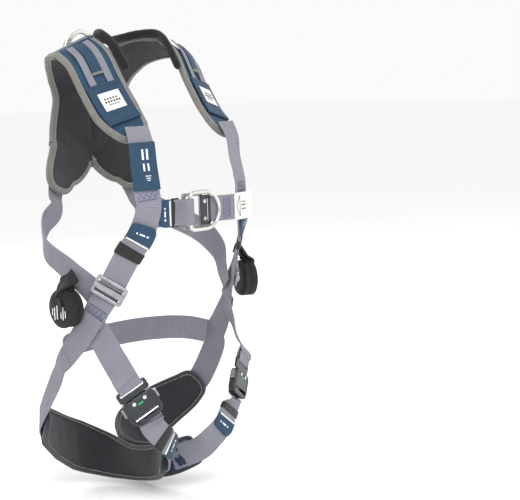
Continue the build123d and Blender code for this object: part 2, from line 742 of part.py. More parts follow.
# The upper strap's loop through the tongue's slot.
LOOP_REACH = 15.0
LOOP_END = 4.0
LOOP_OUT = HEAD_THICK / 2 + GAP + THICK
with BuildPart() as tongue_loop:
    with BuildSketch(Plane(
        origin=buckle_plane.from_local_coords((-WEBBING / 2, 0, 0)),
        x_dir=buckle_plane.y_dir, z_dir=buckle_plane.x_dir,
    )):
        with BuildLine():
            Polyline(
                (slot_y - 1.2, -LOOP_OUT), (slot_y - 1.2, LOOP_OUT), (slot_y + LOOP_REACH, LOOP_OUT),
                (slot_y + LOOP_REACH, -LOOP_OUT), close=True,
            )
        make_face()
        with BuildLine():
            Polyline(
                (slot_y + 1.2, THICK - LOOP_OUT), (slot_y + 1.2, LOOP_OUT - THICK),
                (slot_y + LOOP_REACH - LOOP_END, LOOP_OUT - THICK),
                (slot_y + LOOP_REACH - LOOP_END, THICK - LOOP_OUT),
                close=True,
            )
        make_face(mode=Mode.SUBTRACT)
    extrude(amount=WEBBING)
save_pair("tongue_loop", tongue_loop)

# Release tabs at the body's sides, each with a leaf spring behind it.
for name, side in (("inner", -1), ("outer", 1)):
    tab_x = side * (BUCKLE_WIDTH / 2 + TAB_PROUD - TAB_WIDTH / 2)
    with BuildPart() as release_tab:
        with BuildSketch(buckle_plane.offset(-cavity_height / 2 + TAB_CLEAR)):
            with Locations((tab_x, TAB_Y)):
                Rectangle(TAB_WIDTH, TAB_LENGTH)
        extrude(amount=cavity_height - 2 * TAB_CLEAR)
    save_pair(f"release_tab_{name}", release_tab)

with BuildPart() as latch_springs:
    with BuildSketch(buckle_plane.offset(-SPRING_SIZE / 2)):
        with Locations(*SPRING_SPOTS):
            Rectangle(SPRING_SIZE, SPRING_SIZE)
        with Locations(*[(x, y - SPRING_WALL) for x, y in SPRING_SPOTS]):
            Rectangle(SPRING_SIZE - 2 * SPRING_WALL, SPRING_SIZE, mode=Mode.SUBTRACT)
    extrude(amount=SPRING_SIZE)
save_group("latch_springs", [], [latch_springs])

# The lower strap turns round this bar, which slides a little to let the strap run.
with BuildPart() as leg_adjuster_bar:
    bar_y = adjust_y - ADJUST_SLOT / 2 + ADJUST_BAR_R + ADJUST_CLEAR
    with BuildSketch(Plane(
        origin=buckle_plane.from_local_coords((-BAR_SPAN / 2, bar_y, 0)), z_dir=buckle_plane.x_dir
    )):
        Circle(ADJUST_BAR_R)
    extrude(amount=BAR_SPAN)
    with BuildSketch(buckle_plane.offset(-GROOVE_HEIGHT / 2 + ADJUST_CLEAR)):
        with Locations((0, bar_y)):
            Rectangle(GROOVE_SPAN - 1, 5)
    extrude(amount=GROOVE_HEIGHT - 2 * ADJUST_CLEAR)
save_pair("leg_adjuster_bar", leg_adjuster_bar)

STRAP_START = 6.0         # below the buckle body
below_buckle = buckle_plane.from_local_coords((0, -buckle_top - STRAP_START, 0))
leg_lower_route = [
    (below_buckle, buckle_plane.z_dir),
    free(94, -103, 27, (0.15, -1, 0)),
    free(70, -107, -2, (-0.1, -1, 0)),
    free(48, -100, -23, (-0.35, -1, 0)),
    on_seat(-1, 3.0),
    on_seat(-4, 2.5),
]
leg_lower_line = smooth(leg_lower_route)
save_pair("leg_strap_lower", ribbon(leg_lower_line))

# The right leg's loose end is pulled through further than the left one's.
keeper_lift = over_strap + 0.8
tag_lift = over_strap + 0.4
leg_keeper_left = ribbon(leg_lower_line[3:5], KEEPER_WIDTH, TAG_THICK, keeper_lift)
leg_tag_left = ribbon(leg_lower_line[5:8], TAG_WIDTH, TAG_THICK, tag_lift)
leg_keeper_right = ribbon(leg_lower_line[5:7], KEEPER_WIDTH, TAG_THICK, keeper_lift)
leg_tag_right = ribbon(leg_lower_line[7:10], TAG_WIDTH, TAG_THICK, tag_lift)

# Five alike elastic keepers and five alike strap end tags.
save_group("elastic_keepers", [chest_keeper, leg_keeper_left, turned(leg_keeper_right)], [torso_keeper])
save_group("strap_end_tags", [chest_tag, leg_tag_left, turned(leg_tag_right)], [torso_tag])
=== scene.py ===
import math
from bisect import bisect_right
from math import cos, pi, radians, sin

import bmesh
import bpy
from mathutils import Matrix, Vector, noise
from mathutils.bvhtree import BVHTree
from mathutils.kdtree import KDTree


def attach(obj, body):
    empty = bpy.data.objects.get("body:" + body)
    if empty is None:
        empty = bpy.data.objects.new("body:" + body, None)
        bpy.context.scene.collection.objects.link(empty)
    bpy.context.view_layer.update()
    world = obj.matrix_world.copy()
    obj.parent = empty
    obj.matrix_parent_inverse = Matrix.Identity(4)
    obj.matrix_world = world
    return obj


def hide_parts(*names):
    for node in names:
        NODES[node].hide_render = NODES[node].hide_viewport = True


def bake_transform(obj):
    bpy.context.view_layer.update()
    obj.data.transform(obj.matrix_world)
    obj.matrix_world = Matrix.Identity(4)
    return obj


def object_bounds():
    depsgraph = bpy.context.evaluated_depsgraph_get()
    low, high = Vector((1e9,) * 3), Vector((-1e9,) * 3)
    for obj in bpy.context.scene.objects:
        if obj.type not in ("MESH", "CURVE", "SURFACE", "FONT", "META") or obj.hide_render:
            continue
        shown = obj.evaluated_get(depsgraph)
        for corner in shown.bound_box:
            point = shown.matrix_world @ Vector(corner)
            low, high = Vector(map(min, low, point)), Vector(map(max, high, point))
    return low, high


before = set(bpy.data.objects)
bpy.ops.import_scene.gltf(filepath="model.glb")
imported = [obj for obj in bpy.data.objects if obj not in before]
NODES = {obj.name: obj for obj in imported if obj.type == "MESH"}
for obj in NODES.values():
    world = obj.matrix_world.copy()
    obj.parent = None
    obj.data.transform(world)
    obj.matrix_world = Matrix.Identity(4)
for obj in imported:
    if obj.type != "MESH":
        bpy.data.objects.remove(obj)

# Full-body safety harness. Shapes are worked out in millimetres in the row's frame and made in metres.
# +Z is up, the wearer faces -Y and the wearer's left is +X.
cad_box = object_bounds()
MM = 0.001

WEBBING = 45.0
THICK = 2.4
GAP = 0.5
PAD_THICK = 14.0
SEAT_PAD_THICK = 12.0
MAIN_LIFT = 9.5
CHEST_STAND_OFF = 24.0
UNDER_LIFT = 4.2
TAIL_STEP = THICK + GAP
TAG_THICK = 1.6
TAG_WIDTH = 48.0
KEEPER_WIDTH = 50.0
OVER_STRAP = THICK / 2 + GAP + TAG_THICK / 2
OVER_TAIL = OVER_STRAP + TAIL_STEP
FINE = 4                  # stations here for each one of a strap's solid
PAD_FINE = 3              # and of a pad's
CAD_STEPS = 3

TORSO = [
    (-60, 178, 92, 108), (0, 178, 98, 124), (50, 177, 104, 132), (100, 172, 106, 124),
    (150, 165, 106, 108), (200, 158, 108, 98), (250, 154, 110, 96), (300, 158, 114, 104),
    (350, 168, 120, 116), (400, 178, 124, 128), (450, 184, 122, 136), (500, 186, 108, 138),
    (540, 180, 86, 136), (580, 160, 58, 128),
]
TORSO_SQUARENESS = 2.4
THIGH_AXIS = Vector((92, 10, 0))


# ------------------------------------------------------------------- body shape
def torso_size(height):
    """Half width, front depth and back depth of the body at a height."""
    for low, high in zip(TORSO, TORSO[1:]):
        if height <= high[0] or high is TORSO[-1]:
            share = (height - low[0]) / (high[0] - low[0])
            return [a + (b - a) * share for a, b in zip(low[1:], high[1:])]


def on_torso(angle, height, lift):
    """A station on the body: angle from the front towards the wearer's left."""
    half, front, back = torso_size(height)
    side, ahead = sin(radians(angle)), cos(radians(angle))
    depth = front if ahead > 0 else back
    n = TORSO_SQUARENESS
    reach = ((abs(side) / half) ** n + (abs(ahead) / depth) ** n) ** (-1 / n)
    point = Vector((reach * side, -reach * ahead, height))
    outward = Vector((point.x / half**2, point.y / depth**2, 0)).normalized()
    return point + outward * lift, outward


def by_thigh(x, y, z, droop=0.0):
    """A station beside the left thigh, facing away from the thigh's axis."""
    away = (Vector((x, y, 0)) - THIGH_AXIS).normalized()
    return Vector((x, y, z)), (away - Vector((0, 0, droop))).normalized()


def free(x, y, z, facing):
    return Vector((x, y, z)), Vector(facing).normalized()


def blend_four(p, t):
    """Catmull-Rom value between p[1] and p[2]."""
    a = p[1] * 2
    b = (p[2] - p[0]) * t
    c = (p[0] * 2 - p[1] * 5 + p[2] * 4 - p[3]) * t**2
    d = (p[1] * 3 - p[0] - p[2] * 3 + p[3]) * t**3
    return (a + b + c + d) * 0.5


def smooth(stations, steps=CAD_STEPS * FINE):
    """Catmull-Rom stations through the chosen ones."""
    filled = []
    last = len(stations) - 1
    for i in range(last):
        four = [stations[max(i - 1, 0)], stations[i], stations[i + 1], stations[min(i + 2, last)]]
        for k in range(steps):
            filled.append(tuple(blend_four([s[j] for s in four], k / steps) for j in range(2)))
    filled.append(stations[last])
    return filled


def spread(values, steps):
    """Straight steps between the chosen values."""
    filled = []
    for a, b in zip(values, values[1:]):
        filled += [a + (b - a) * k / steps for k in range(steps)]
    return filled + [values[-1]]


def edge_stations(edges):
    """Stations and widths of a pad from pairs of points on its inner and outer edges."""
    inner = [Vector(pair[0]) for pair in edges]
    outer = [Vector(pair[1]) for pair in edges]
    middles = [(a + b) * 0.5 for a, b in zip(inner, outer)]
    last = len(edges) - 1
    stations = []
    for i, middle in enumerate(middles):
        run = middles[min(i + 1, last)] - middles[max(i - 1, 0)]
        stations.append((middle, run.cross(outer[i] - inner[i]).normalized()))
    return stations, [(b - a).length for a, b in zip(inner, outer)]


class Line:
    """The middle of a strap: points, their across, out and run directions, and how far along they are."""

    def __init__(self, stations):
        self.points = [point for point, _ in stations]
        self.frames = []
        last = len(stations) - 1
        for i, (_, outward) in enumerate(stations):
            run = (self.points[min(i + 1, last)] - self.points[max(i - 1, 0)]).normalized()
            across = outward.cross(run).normalized()
            self.frames.append((across, run.cross(across), run))
        self.along = [0.0]
        for a, b in zip(self.points, self.points[1:]):
            self.along.append(self.along[-1] + (b - a).length)

    @property
    def length(self):
        return self.along[-1] - self.along[0]

    def part(self, first, last):
        """The stretch between two of its own stations."""
        piece = Line.__new__(Line)
        piece.points = self.points[first:last + 1]
        piece.frames = self.frames[first:last + 1]
        piece.along = self.along[first:last + 1]
        return piece

    def solid(self, start, stop, fine=FINE):
        """The stretch that a slice of the solid's stations covers."""
        return self.part(start * fine, (stop - 1) * fine)

    def at(self, s, x=0.0, lift=0.0):
        """Point and directions at a length along, x across and lift out of the face."""
        s = min(max(s, self.along[0]), self.along[-1])
        i = min(max(bisect_right(self.along, s) - 1, 0), len(self.points) - 2)
        share = (s - self.along[i]) / max(self.along[i + 1] - self.along[i], 1e-6)
        point = self.points[i].lerp(self.points[i + 1], share)
        across, out, run = (a.lerp(b, share).normalized() for a, b in zip(self.frames[i], self.frames[i + 1]))
        return point + across * x + out * lift, across, out, run

    def cut(self, start, end, steps=None):
        """The stretch between two lengths, in even steps."""
        steps = steps or max(2, int(abs(end - start) / 4))
        piece = Line.__new__(Line)
        piece.along = [start + (end - start) * k / steps for k in range(steps + 1)]
        places = [self.at(s) for s in piece.along]
        piece.points = [p[0] for p in places]
        piece.frames = [p[1:] for p in places]
        return piece


def bent(origin, first, second, path, steps=6):
    """A line that follows a flat path of (first, second) amounts; its face looks to the path's right."""
    axis = first.cross(second).normalized()
    points = [(origin + first * a + second * b, axis) for a, b in path]
    filled = [p for p, _ in smooth(points, steps)]
    last = len(filled) - 1
    stations = []
    for i, point in enumerate(filled):
        run = filled[min(i + 1, last)] - filled[max(i - 1, 0)]
        stations.append((point, run.cross(axis).normalized()))
    return Line(stations)


# ------------------------------------------------------------------------ shapes
class Shape:
    """Gathers the faces of one piece and makes its object."""

    def __init__(self):
        self.points, self.faces, self.uvs, self.paint = [], [], [], []

    def rows(self, rows, us, vs, paint=0, closed=True, caps=True):
        """Quads between rows of points. us has one value more than a closed row, vs one for each row."""
        base, n = len(self.points), len(rows[0])
        paints = paint if isinstance(paint, list) else [paint] * n
        for row in rows:
            self.points += row
        for i in range(len(rows) - 1):
            for j in range(n if closed else n - 1):
                k = (j + 1) % n
                a, b = base + i * n, base + (i + 1) * n
                self.faces.append((a + j, a + k, b + k, b + j))
                u0, u1, v0, v1 = us[j], us[j + 1], vs[i], vs[i + 1]
                self.uvs.append(((u0, v0), (u1, v0), (u1, v1), (u0, v1)))
                self.paint.append(paints[j])
        if caps:
            for i in (0, len(rows) - 1):
                self.faces.append(tuple(base + i * n + j for j in range(n)))
                self.uvs.append(tuple((us[j], vs[i]) for j in range(n)))
                self.paint.append(paints[0])

    def join(self, other, flip=False):
        """Adds another shape, as its mirror image if flip is true."""
        base = len(self.points)
        side = -1 if flip else 1
        self.points += [Vector((p.x * side, p.y, p.z)) for p in other.points]
        self.faces += [tuple(base + i for i in face) for face in other.faces]
        self.uvs += list(other.uvs)
        self.paint += list(other.paint)
        return self

    def mirror(self):
        """Adds the mirror image of everything so far."""
        return self.join(self, flip=True)

    def make(self, name, materials, flip=False, merge=0.0, angle=42):
        """The object, mirrored if flip is true, with outward faces."""
        side = -1 if flip else 1
        mesh = bpy.data.meshes.new(name)
        mesh.from_pydata([(p.x * MM * side, p.y * MM, p.z * MM) for p in self.points], [], self.faces)
        layer = mesh.uv_layers.new(name="cloth")
        flat = [value * MM for face in self.uvs for corner in face for value in corner]
        layer.data.foreach_set("uv", flat)
        mesh.polygons.foreach_set("material_index", self.paint)
        for material in materials:
            mesh.materials.append(material)
        work = bmesh.new()
        work.from_mesh(mesh)
        if merge:
            bmesh.ops.remove_doubles(work, verts=work.verts, dist=merge * MM)
            inner = [f for f in work.faces if all(abs(v.co.x) < 1e-6 for v in f.verts)]
            bmesh.ops.delete(work, geom=inner, context="FACES_ONLY")
        bmesh.ops.recalc_face_normals(work, faces=work.faces)
        work.to_mesh(mesh)
        work.free()
        mesh.shade_smooth()
        mesh.set_sharp_from_angle(angle=radians(angle))
        made = bpy.data.objects.new(name, mesh)
        bpy.context.scene.collection.objects.link(made)
        return made


def keep(made, slot, *nodes, body="harness"):
    """Finishes a piece: it rides on its body and stands for its nodes."""
    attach(made, body)
    if nodes:
        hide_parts(*nodes)
    return made


# In from a strap's edge, and how high its face is there as a share of the thickness.
EDGE = ((0.0, 0.0), (0.1, 0.26), (0.5, 0.43), (1.5, 0.5))


def strip_loop(width, thick, columns=6):
    """Closed section of a strap, top face first."""
    half = width / 2
    rim = [(inset, share) for inset, share in EDGE if inset < half * 0.8]
    inner = half - rim[-1][0]
    top = [(-half + inset, share * thick) for inset, share in rim]
    top += [(-inner + 2 * inner * k / columns, thick / 2) for k in range(1, columns)]
    top += [(half - inset, share * thick) for inset, share in reversed(rim)]
    return top + [(x, -z) for x, z in reversed(top[1:-1])]


def band(shape, line, width, thick=THICK, lift=0.0, shift=0.0, paint=0, wave=0.0):
    """A strap along a line. width is one number or one for each station."""
    widths = width if isinstance(width, list) else [width] * len(line.points)
    rows = []
    for point, (across, out, _), wide, s in zip(line.points, line.frames, widths, line.along):
        row = []
        for x, z in strip_loop(wide, thick):
            ripple = wave * noise.noise(Vector((x / 24, s / 34, lift + width_seed(widths))))
            row.append(point + across * (x + shift) + out * (lift + z + ripple))
        rows.append(row)
    loop = strip_loop(widths[0], thick)
    us = [x + shift for x, _ in loop] + [loop[0][0] + shift]
    shape.rows(rows, us, line.along, paint)


def width_seed(widths):
    return sum(widths) % 17


def stitch(shape, centre, run, across, out, length, paint, fat=1.0):
    """One thread stitch lying on a face."""
    rows = []
    for t, size in ((-0.5, 0.25), (-0.32, 1), (0.32, 1), (0.5, 0.25)):
        middle = centre + run * (t * length)
        wide, high = across * (0.42 * fat * size), out * (0.34 * fat * size)
        rows.append([middle + wide, middle + high, middle - wide, middle - high])
    shape.rows(rows, [0, 1, 2, 3, 4], [0, 1, 2, 3], paint)


def sew(shape, line, path, lift, paint, pitch=3.4, thread=2.6, fat=1.0):
    """Stitches along a path of (length along, across) points."""
    for (s0, x0), (s1, x1) in zip(path, path[1:]):
        span = math.hypot(s1 - s0, x1 - x0)
        count = max(1, round(span / pitch))
        for k in range(count):
            t = (k + 0.5) / count
            point, across, out, run = line.at(s0 + (s1 - s0) * t, x0 + (x1 - x0) * t, lift)
            way = (run * (s1 - s0) + across * (x1 - x0)).normalized()
            stitch(shape, point, way, out.cross(way), out, min(thread, span * 0.9), paint, fat)


def bar_tack(shape, line, start, end, half, lift, paint, turns=7):
    """A sewn patch: a row at each end and a zigzag between them."""
    for s in (start, start + 1.6, end - 1.6, end):
        sew(shape, line, [(s, -half), (s, half)], lift, paint)
    ends = (start + 3.5, end - 3.5)
    path = [(ends[k % 2], -half + 2 * half * k / turns) for k in range(turns + 1)]
    sew(shape, line, path, lift, paint, pitch=2.8)


def patch(shape, line, start, end, low, high, lift, thick, paint):
    """A thin flat strip on a face, from low to high across."""
    band(shape, line.cut(start, end), high - low, thick, lift, (low + high) / 2, paint)


def marks(shape, line, spots, lift, paint):
    """Plain printed bars: (start, end, low, high) each."""
    for start, end, low, high in spots:
        patch(shape, line, start, end, low, high, lift, 0.16, paint)


# --------------------------------------------------------------------- materials
def rgb(red, green, blue):
    """Linear colour from screen values."""
    line = [v / 255 for v in (red, green, blue)]
    return tuple(v / 12.92 if v <= 0.04045 else ((v + 0.055) / 1.055) ** 2.4 for v in line) + (1.0,)


class Surface:
    """Builds the nodes of one material."""

    def __init__(self, name, rough, metal=0.0, sheen=0.0, coat=0.0):
        self.material = bpy.data.materials.new(name)
        self.material.use_nodes = True
        self.tree = self.material.node_tree
        self.shader = self.tree.nodes["Principled BSDF"]
        self.shader.inputs["Roughness"].default_value = rough
        self.shader.inputs["Metallic"].default_value = metal
        self.shader.inputs["Sheen Weight"].default_value = sheen
        self.shader.inputs["Coat Weight"].default_value = coat
        self.cloth = self.add("UVMap", uv_map="cloth").outputs[0]
        self.place = self.add("TexCoord").outputs["Object"]

    def add(self, kind, settings=None, **values):
        node = self.tree.nodes.new("ShaderNode" + kind)
        for key, value in values.items():
            setattr(node, key, value)
        for key, value in (settings or {}).items():
            socket = node.inputs[key]
            if isinstance(value, bpy.types.NodeSocket):
                self.tree.links.new(value, socket)
            else:
                socket.default_value = value
        return node

    def wave(self, axis, pitch, distortion=0.0):
        """Even ridges across an axis of the cloth, one each pitch millimetres."""
        scale = 2 * pi / (20 * pitch * MM)
        return self.add(
            "TexWave", {"Vector": self.cloth, "Scale": scale, "Distortion": distortion, "Detail Scale": 1.0},
            wave_type="BANDS", bands_direction=axis, wave_profile="SIN",
        ).outputs["Fac"]

    def cloud(self, size, detail=3.0, stretch=None):
        """Soft noise with features of about size millimetres."""
        where = self.place
        if stretch:
            where = self.add("Mapping", {"Vector": where, "Scale": stretch}).outputs[0]
        return self.add(
            "TexNoise", {"Vector": where, "Scale": 1 / (size * MM), "Detail": detail}
        ).outputs["Fac"]

    def maths(self, kind, a, b):
        return self.add("Math", {0: a, 1: b}, operation=kind).outputs[0]

    def sharpen(self, value, low, high, to_low=0.0, to_high=1.0):
        return self.add(
            "MapRange", {0: value, 1: low, 2: high, 3: to_low, 4: to_high}
        ).outputs[0]

    def mix(self, factor, first, second, kind="MIX"):
        return self.add(
            "MixRGB", {"Fac": factor, "Color1": first, "Color2": second}, blend_type=kind
        ).outputs[0]

    def finish(self, colour, height=None, depth=0.3, roughness=None, strength=1.0):
        self.tree.links.new(colour, self.shader.inputs["Base Color"])
        if height is not None:
            bump = self.add("Bump", {"Height": height, "Distance": depth * MM, "Strength": strength})
            self.tree.links.new(bump.outputs[0], self.shader.inputs["Normal"])
        if roughness is not None:
            self.tree.links.new(roughness, self.shader.inputs["Roughness"])
        return self.material

    def soiled(self, colour, amount=0.16, size=38):
        """Slow colour changes, as handling and light leave on cloth."""
        shade = self.sharpen(self.cloud(size), 0.3, 0.7, 1 - amount, 1.0)
        tone = self.add("CombineColor", {0: shade, 1: shade, 2: shade}).outputs[0]
        return self.mix(1.0, colour, tone, "MULTIPLY")


def woven_webbing(name, dark, light, rib=2.3, thread=1.15, sheen=0.08):
    s = Surface(name, 0.72, sheen=sheen)
    ribs = s.wave("Y", rib, 0.15)
    threads = s.wave("X", thread)
    height = s.maths("ADD", s.maths("MULTIPLY", ribs, 0.62), s.maths("MULTIPLY", threads, 0.38))
    fuzz = s.cloud(0.9)
    tone = s.maths("ADD", s.maths("MULTIPLY", height, 0.8), s.maths("MULTIPLY", fuzz, 0.3))
    return s.finish(s.soiled(s.mix(tone, dark, light), 0.12), height, 0.42)


def ripstop(name, dark, light, grid=5.0, sheen=0.06, gloss=0.62):
    s = Surface(name, gloss, sheen=sheen)
    weave = s.maths("MULTIPLY", s.wave("X", 0.8), s.wave("Y", 0.8))
    across, along = (s.maths("POWER", s.wave(axis, grid), 14.0) for axis in ("X", "Y"))
    lines = s.maths("MAXIMUM", across, along)
    height = s.maths("ADD", s.maths("MULTIPLY", weave, 0.4), s.maths("MULTIPLY", lines, 0.7))
    crease = s.cloud(7.0, 4.0)
    tone = s.maths("ADD", s.maths("MULTIPLY", height, 0.45), s.maths("MULTIPLY", crease, 0.55))
    both = s.maths("ADD", height, s.maths("MULTIPLY", crease, 2.4))
    rough = s.sharpen(s.cloud(16.0), 0.3, 0.7, gloss - 0.08, gloss + 0.12)
    return s.finish(s.soiled(s.mix(tone, dark, light), 0.2, 30), both, 0.3, rough)


def grosgrain(name, dark, light, rib=1.0):
    s = Surface(name, 0.8, sheen=0.2)
    height = s.maths("ADD", s.wave("Y", rib, 0.2), s.maths("MULTIPLY", s.wave("X", 0.7), 0.3))
    tone = s.maths("ADD", s.maths("MULTIPLY", height, 0.45), s.maths("MULTIPLY", s.cloud(3.0), 0.35))
    return s.finish(s.soiled(s.mix(tone, dark, light), 0.14, 24), height, 0.25)


def elastic_cloth(name, dark, light):
    s = Surface(name, 0.78, sheen=0.25)
    height = s.maths(
        "ADD", s.maths("MULTIPLY", s.wave("X", 1.4), 0.6), s.maths("MULTIPLY", s.wave("Y", 1.0), 0.4)
    )
    return s.finish(s.soiled(s.mix(height, dark, light), 0.2, 10), height, 0.35)


def fleece_cloth(name, dark, light):
    s = Surface(name, 0.95, sheen=0.12)
    tufts = s.add("TexVoronoi", {"Vector": s.place, "Scale": 1 / (1.6 * MM)}).outputs["Distance"]
    height = s.maths("ADD", s.maths("MULTIPLY", tufts, 0.7), s.cloud(0.8, 6.0))
    return s.finish(s.soiled(s.mix(height, dark, light), 0.3, 8), height, 0.9)


def mesh_lining(name, dark, light):
    s = Surface(name, 0.85, sheen=0.2)
    holes = s.maths("MULTIPLY", s.wave("X", 2.6), s.wave("Y", 2.6))
    return s.finish(s.soiled(s.mix(s.sharpen(holes, 0.2, 0.7), light, dark), 0.2, 14), holes, 0.8)


def satin(name, dark, light):
    s = Surface(name, 0.5, sheen=0.15)
    height = s.maths("ADD", s.wave("X", 0.5), s.wave("Y", 0.9))
    return s.finish(s.soiled(s.mix(s.maths("MULTIPLY", height, 0.5), dark, light), 0.07, 12), height, 0.08)


def thread(name, dark, light):
    s = Surface(name, 0.55, sheen=0.2)
    ply = s.add("TexWave", {"Vector": s.place, "Scale": 180.0}, bands_direction="DIAGONAL").outputs["Fac"]
    return s.finish(s.mix(ply, dark, light), ply, 0.2)


def print_ink(name, dark, light):
    s = Surface(name, 0.45)
    return s.finish(s.mix(s.sharpen(s.cloud(0.7, 5.0), 0.35, 0.6), dark, light), s.cloud(0.6), 0.05)


def bare_metal(name, dark, light, gloss, grain=(1.0, 1.0, 12.0), dents=0.05):
    s = Surface(name, gloss, metal=1.0)
    lines = s.cloud(2.2, 5.0, grain)
    smear = s.cloud(13.0, 2.0)
    both = s.maths("ADD", s.maths("MULTIPLY", lines, 0.6), smear)
    rough = s.sharpen(both, 0.5, 1.1, gloss - 0.07, gloss + 0.14)
    height = s.maths("ADD", s.maths("MULTIPLY", lines, 0.5), s.cloud(4.0, 2.0))
    return s.finish(s.mix(smear, dark, light), height, dents, rough)


def coated_metal(name, dark, light, wear, gloss=0.34):
    """Dark anodised or painted metal with bright specks where it has rubbed."""
    s = Surface(name, gloss, metal=0.75, coat=0.25)
    base = s.mix(s.cloud(9.0), dark, light)
    rubbed = s.sharpen(s.cloud(1.6, 8.0), 0.67, 0.74)
    grit = s.cloud(0.7, 3.0)
    rough = s.sharpen(s.cloud(5.0), 0.3, 0.7, gloss - 0.06, gloss + 0.12)
    return s.finish(s.mix(rubbed, base, wear), grit, 0.06, rough)


def moulded(name, dark, light, gloss=0.45):
    s = Surface(name, gloss)
    grit = s.cloud(0.6, 4.0)
    colour = s.mix(s.cloud(6.0), dark, light)
    return s.finish(colour, grit, 0.07, s.sharpen(grit, 0.3, 0.7, gloss - 0.08, gloss + 0.1))


GREY = woven_webbing("webbing_grey", rgb(58, 59, 70), rgb(158, 158, 170))
PETROL = ripstop("ripstop_petrol", rgb(6, 40, 64), rgb(18, 80, 114))
NAVY = ripstop("ripstop_navy", rgb(8, 22, 46), rgb(26, 54, 90), sheen=0.05, gloss=0.5)
NYLON = ripstop("nylon_blue", rgb(6, 42, 68), rgb(18, 76, 110), grid=2.4, gloss=0.58)
TAUPE = grosgrain("binding_taupe", rgb(82, 80, 76), rgb(152, 149, 142))
BLACK_BINDING = grosgrain("binding_dark", rgb(24, 26, 30), rgb(58, 60, 66))
ELASTIC = elastic_cloth("elastic_black", rgb(3, 3, 4), rgb(20, 20, 22))
FLEECE = fleece_cloth("fleece_black", rgb(2, 2, 3), rgb(12, 12, 13))
LINING = mesh_lining("lining_mesh", rgb(9, 10, 13), rgb(34, 36, 41))
LABEL = satin("label_white", rgb(206, 204, 198), rgb(244, 243, 239))
BLACK_CLOTH = ripstop("pouch_black", rgb(2, 2, 3), rgb(11, 11, 13), grid=1.6, sheen=0.03, gloss=0.66)
BLUE_THREAD = thread("thread_blue", rgb(26, 32, 88), rgb(60, 66, 134))
GREY_THREAD = thread("thread_grey", rgb(120, 120, 122), rgb(190, 188, 184))
DARK_THREAD = thread("thread_dark", rgb(22, 30, 44), rgb(52, 62, 82))
WHITE_INK = print_ink("print_white", rgb(200, 204, 208), rgb(240, 242, 244))
BLACK_INK = print_ink("print_black", rgb(18, 18, 20), rgb(50, 50, 54))
ZINC = bare_metal("steel_zinc", rgb(112, 112, 115), rgb(184, 184, 187), 0.24)
FORGED = bare_metal("steel_forged", rgb(188, 186, 180), rgb(236, 234, 228), 0.22, (1.0, 1.0, 1.0), dents=0.12)
ALLOY = bare_metal("alloy_bright", rgb(176, 176, 180), rgb(232, 232, 236), 0.2, (6.0, 1.0, 1.0))
SPRING = bare_metal("steel_spring", rgb(110, 110, 112), rgb(170, 170, 172), 0.35)
GRAPHITE = coated_metal("metal_graphite", rgb(38, 40, 43), rgb(66, 69, 73), rgb(120, 122, 124))
PLATE = coated_metal("plate_dark", rgb(46, 48, 52), rgb(78, 80, 86), rgb(130, 132, 136), 0.3)
PLASTIC = moulded("plastic_black", rgb(14, 14, 15), rgb(34, 34, 36))
GREEN = moulded("indicator_green", rgb(14, 120, 70), rgb(36, 170, 104), 0.35)

for nodes, material in (
    (("dorsal_d_ring", "chest_d_link"), FORGED),
    (("chest_frame", "torso_adjuster_frame_left", "torso_adjuster_frame_right",
      "torso_adjuster_bar_left", "torso_adjuster_bar_right"), ZINC),
    (("leg_buckle_body_left", "leg_buckle_body_right", "leg_tongue_left", "leg_tongue_right"), GRAPHITE),
    (("chest_hook_plate",), PLATE),
    (("chest_rivets", "leg_buckle_rivets", "leg_adjuster_bar_left", "leg_adjuster_bar_right"), ALLOY),
    (("release_tab_inner_left", "release_tab_outer_left", "release_tab_inner_right",
      "release_tab_outer_right"), SPRING),
    (("latch_springs",), SPRING),
    (("zip_pull_left", "zip_pull_right"), PLASTIC),
):
    for node in nodes:
        data = NODES[node].data
        data.materials.clear()
        data.materials.append(material)
        if not data.uv_layers.get("cloth"):
            data.uv_layers.new(name="cloth")


# -------------------------------------------------------------------------- pads
def pad_half(distance, edge, middle, reach=24.0):
    """Half the thickness of a pad at a distance from its edge."""
    return edge + (middle - edge) * sin(min(distance / reach, 1.0) * pi / 2) ** 0.8


def resample(path, step=3.0, rounds=3, closed=False):
    """Even spacing and softened corners for a path of (point, normal, inward) triples."""
    points = [p for p, _, _ in path]
    along = [0.0]
    for a, b in zip(points, points[1:]):
        along.append(along[-1] + (b - a).length)
    count = max(4, int(along[-1] / step))
    even = []
    for k in range(count + 1):
        s = along[-1] * k / count
        i = min(bisect_right(along, s) - 1, len(points) - 2)
        share = (s - along[i]) / max(along[i + 1] - along[i], 1e-6)
        even.append([a.lerp(b, share) for a, b in zip(path[i], path[i + 1])])
    for _ in range(rounds):
        old = [list(e) for e in even]
        for k in range(len(even)):
            if closed or 0 < k < len(even) - 1:
                before = old[k - 1] if k > 0 else old[-2]
                after = old[k + 1] if k < len(even) - 1 else old[1]
                even[k] = [(b + m * 2 + a) / 4 for b, m, a in zip(before, old[k], after)]
    return even


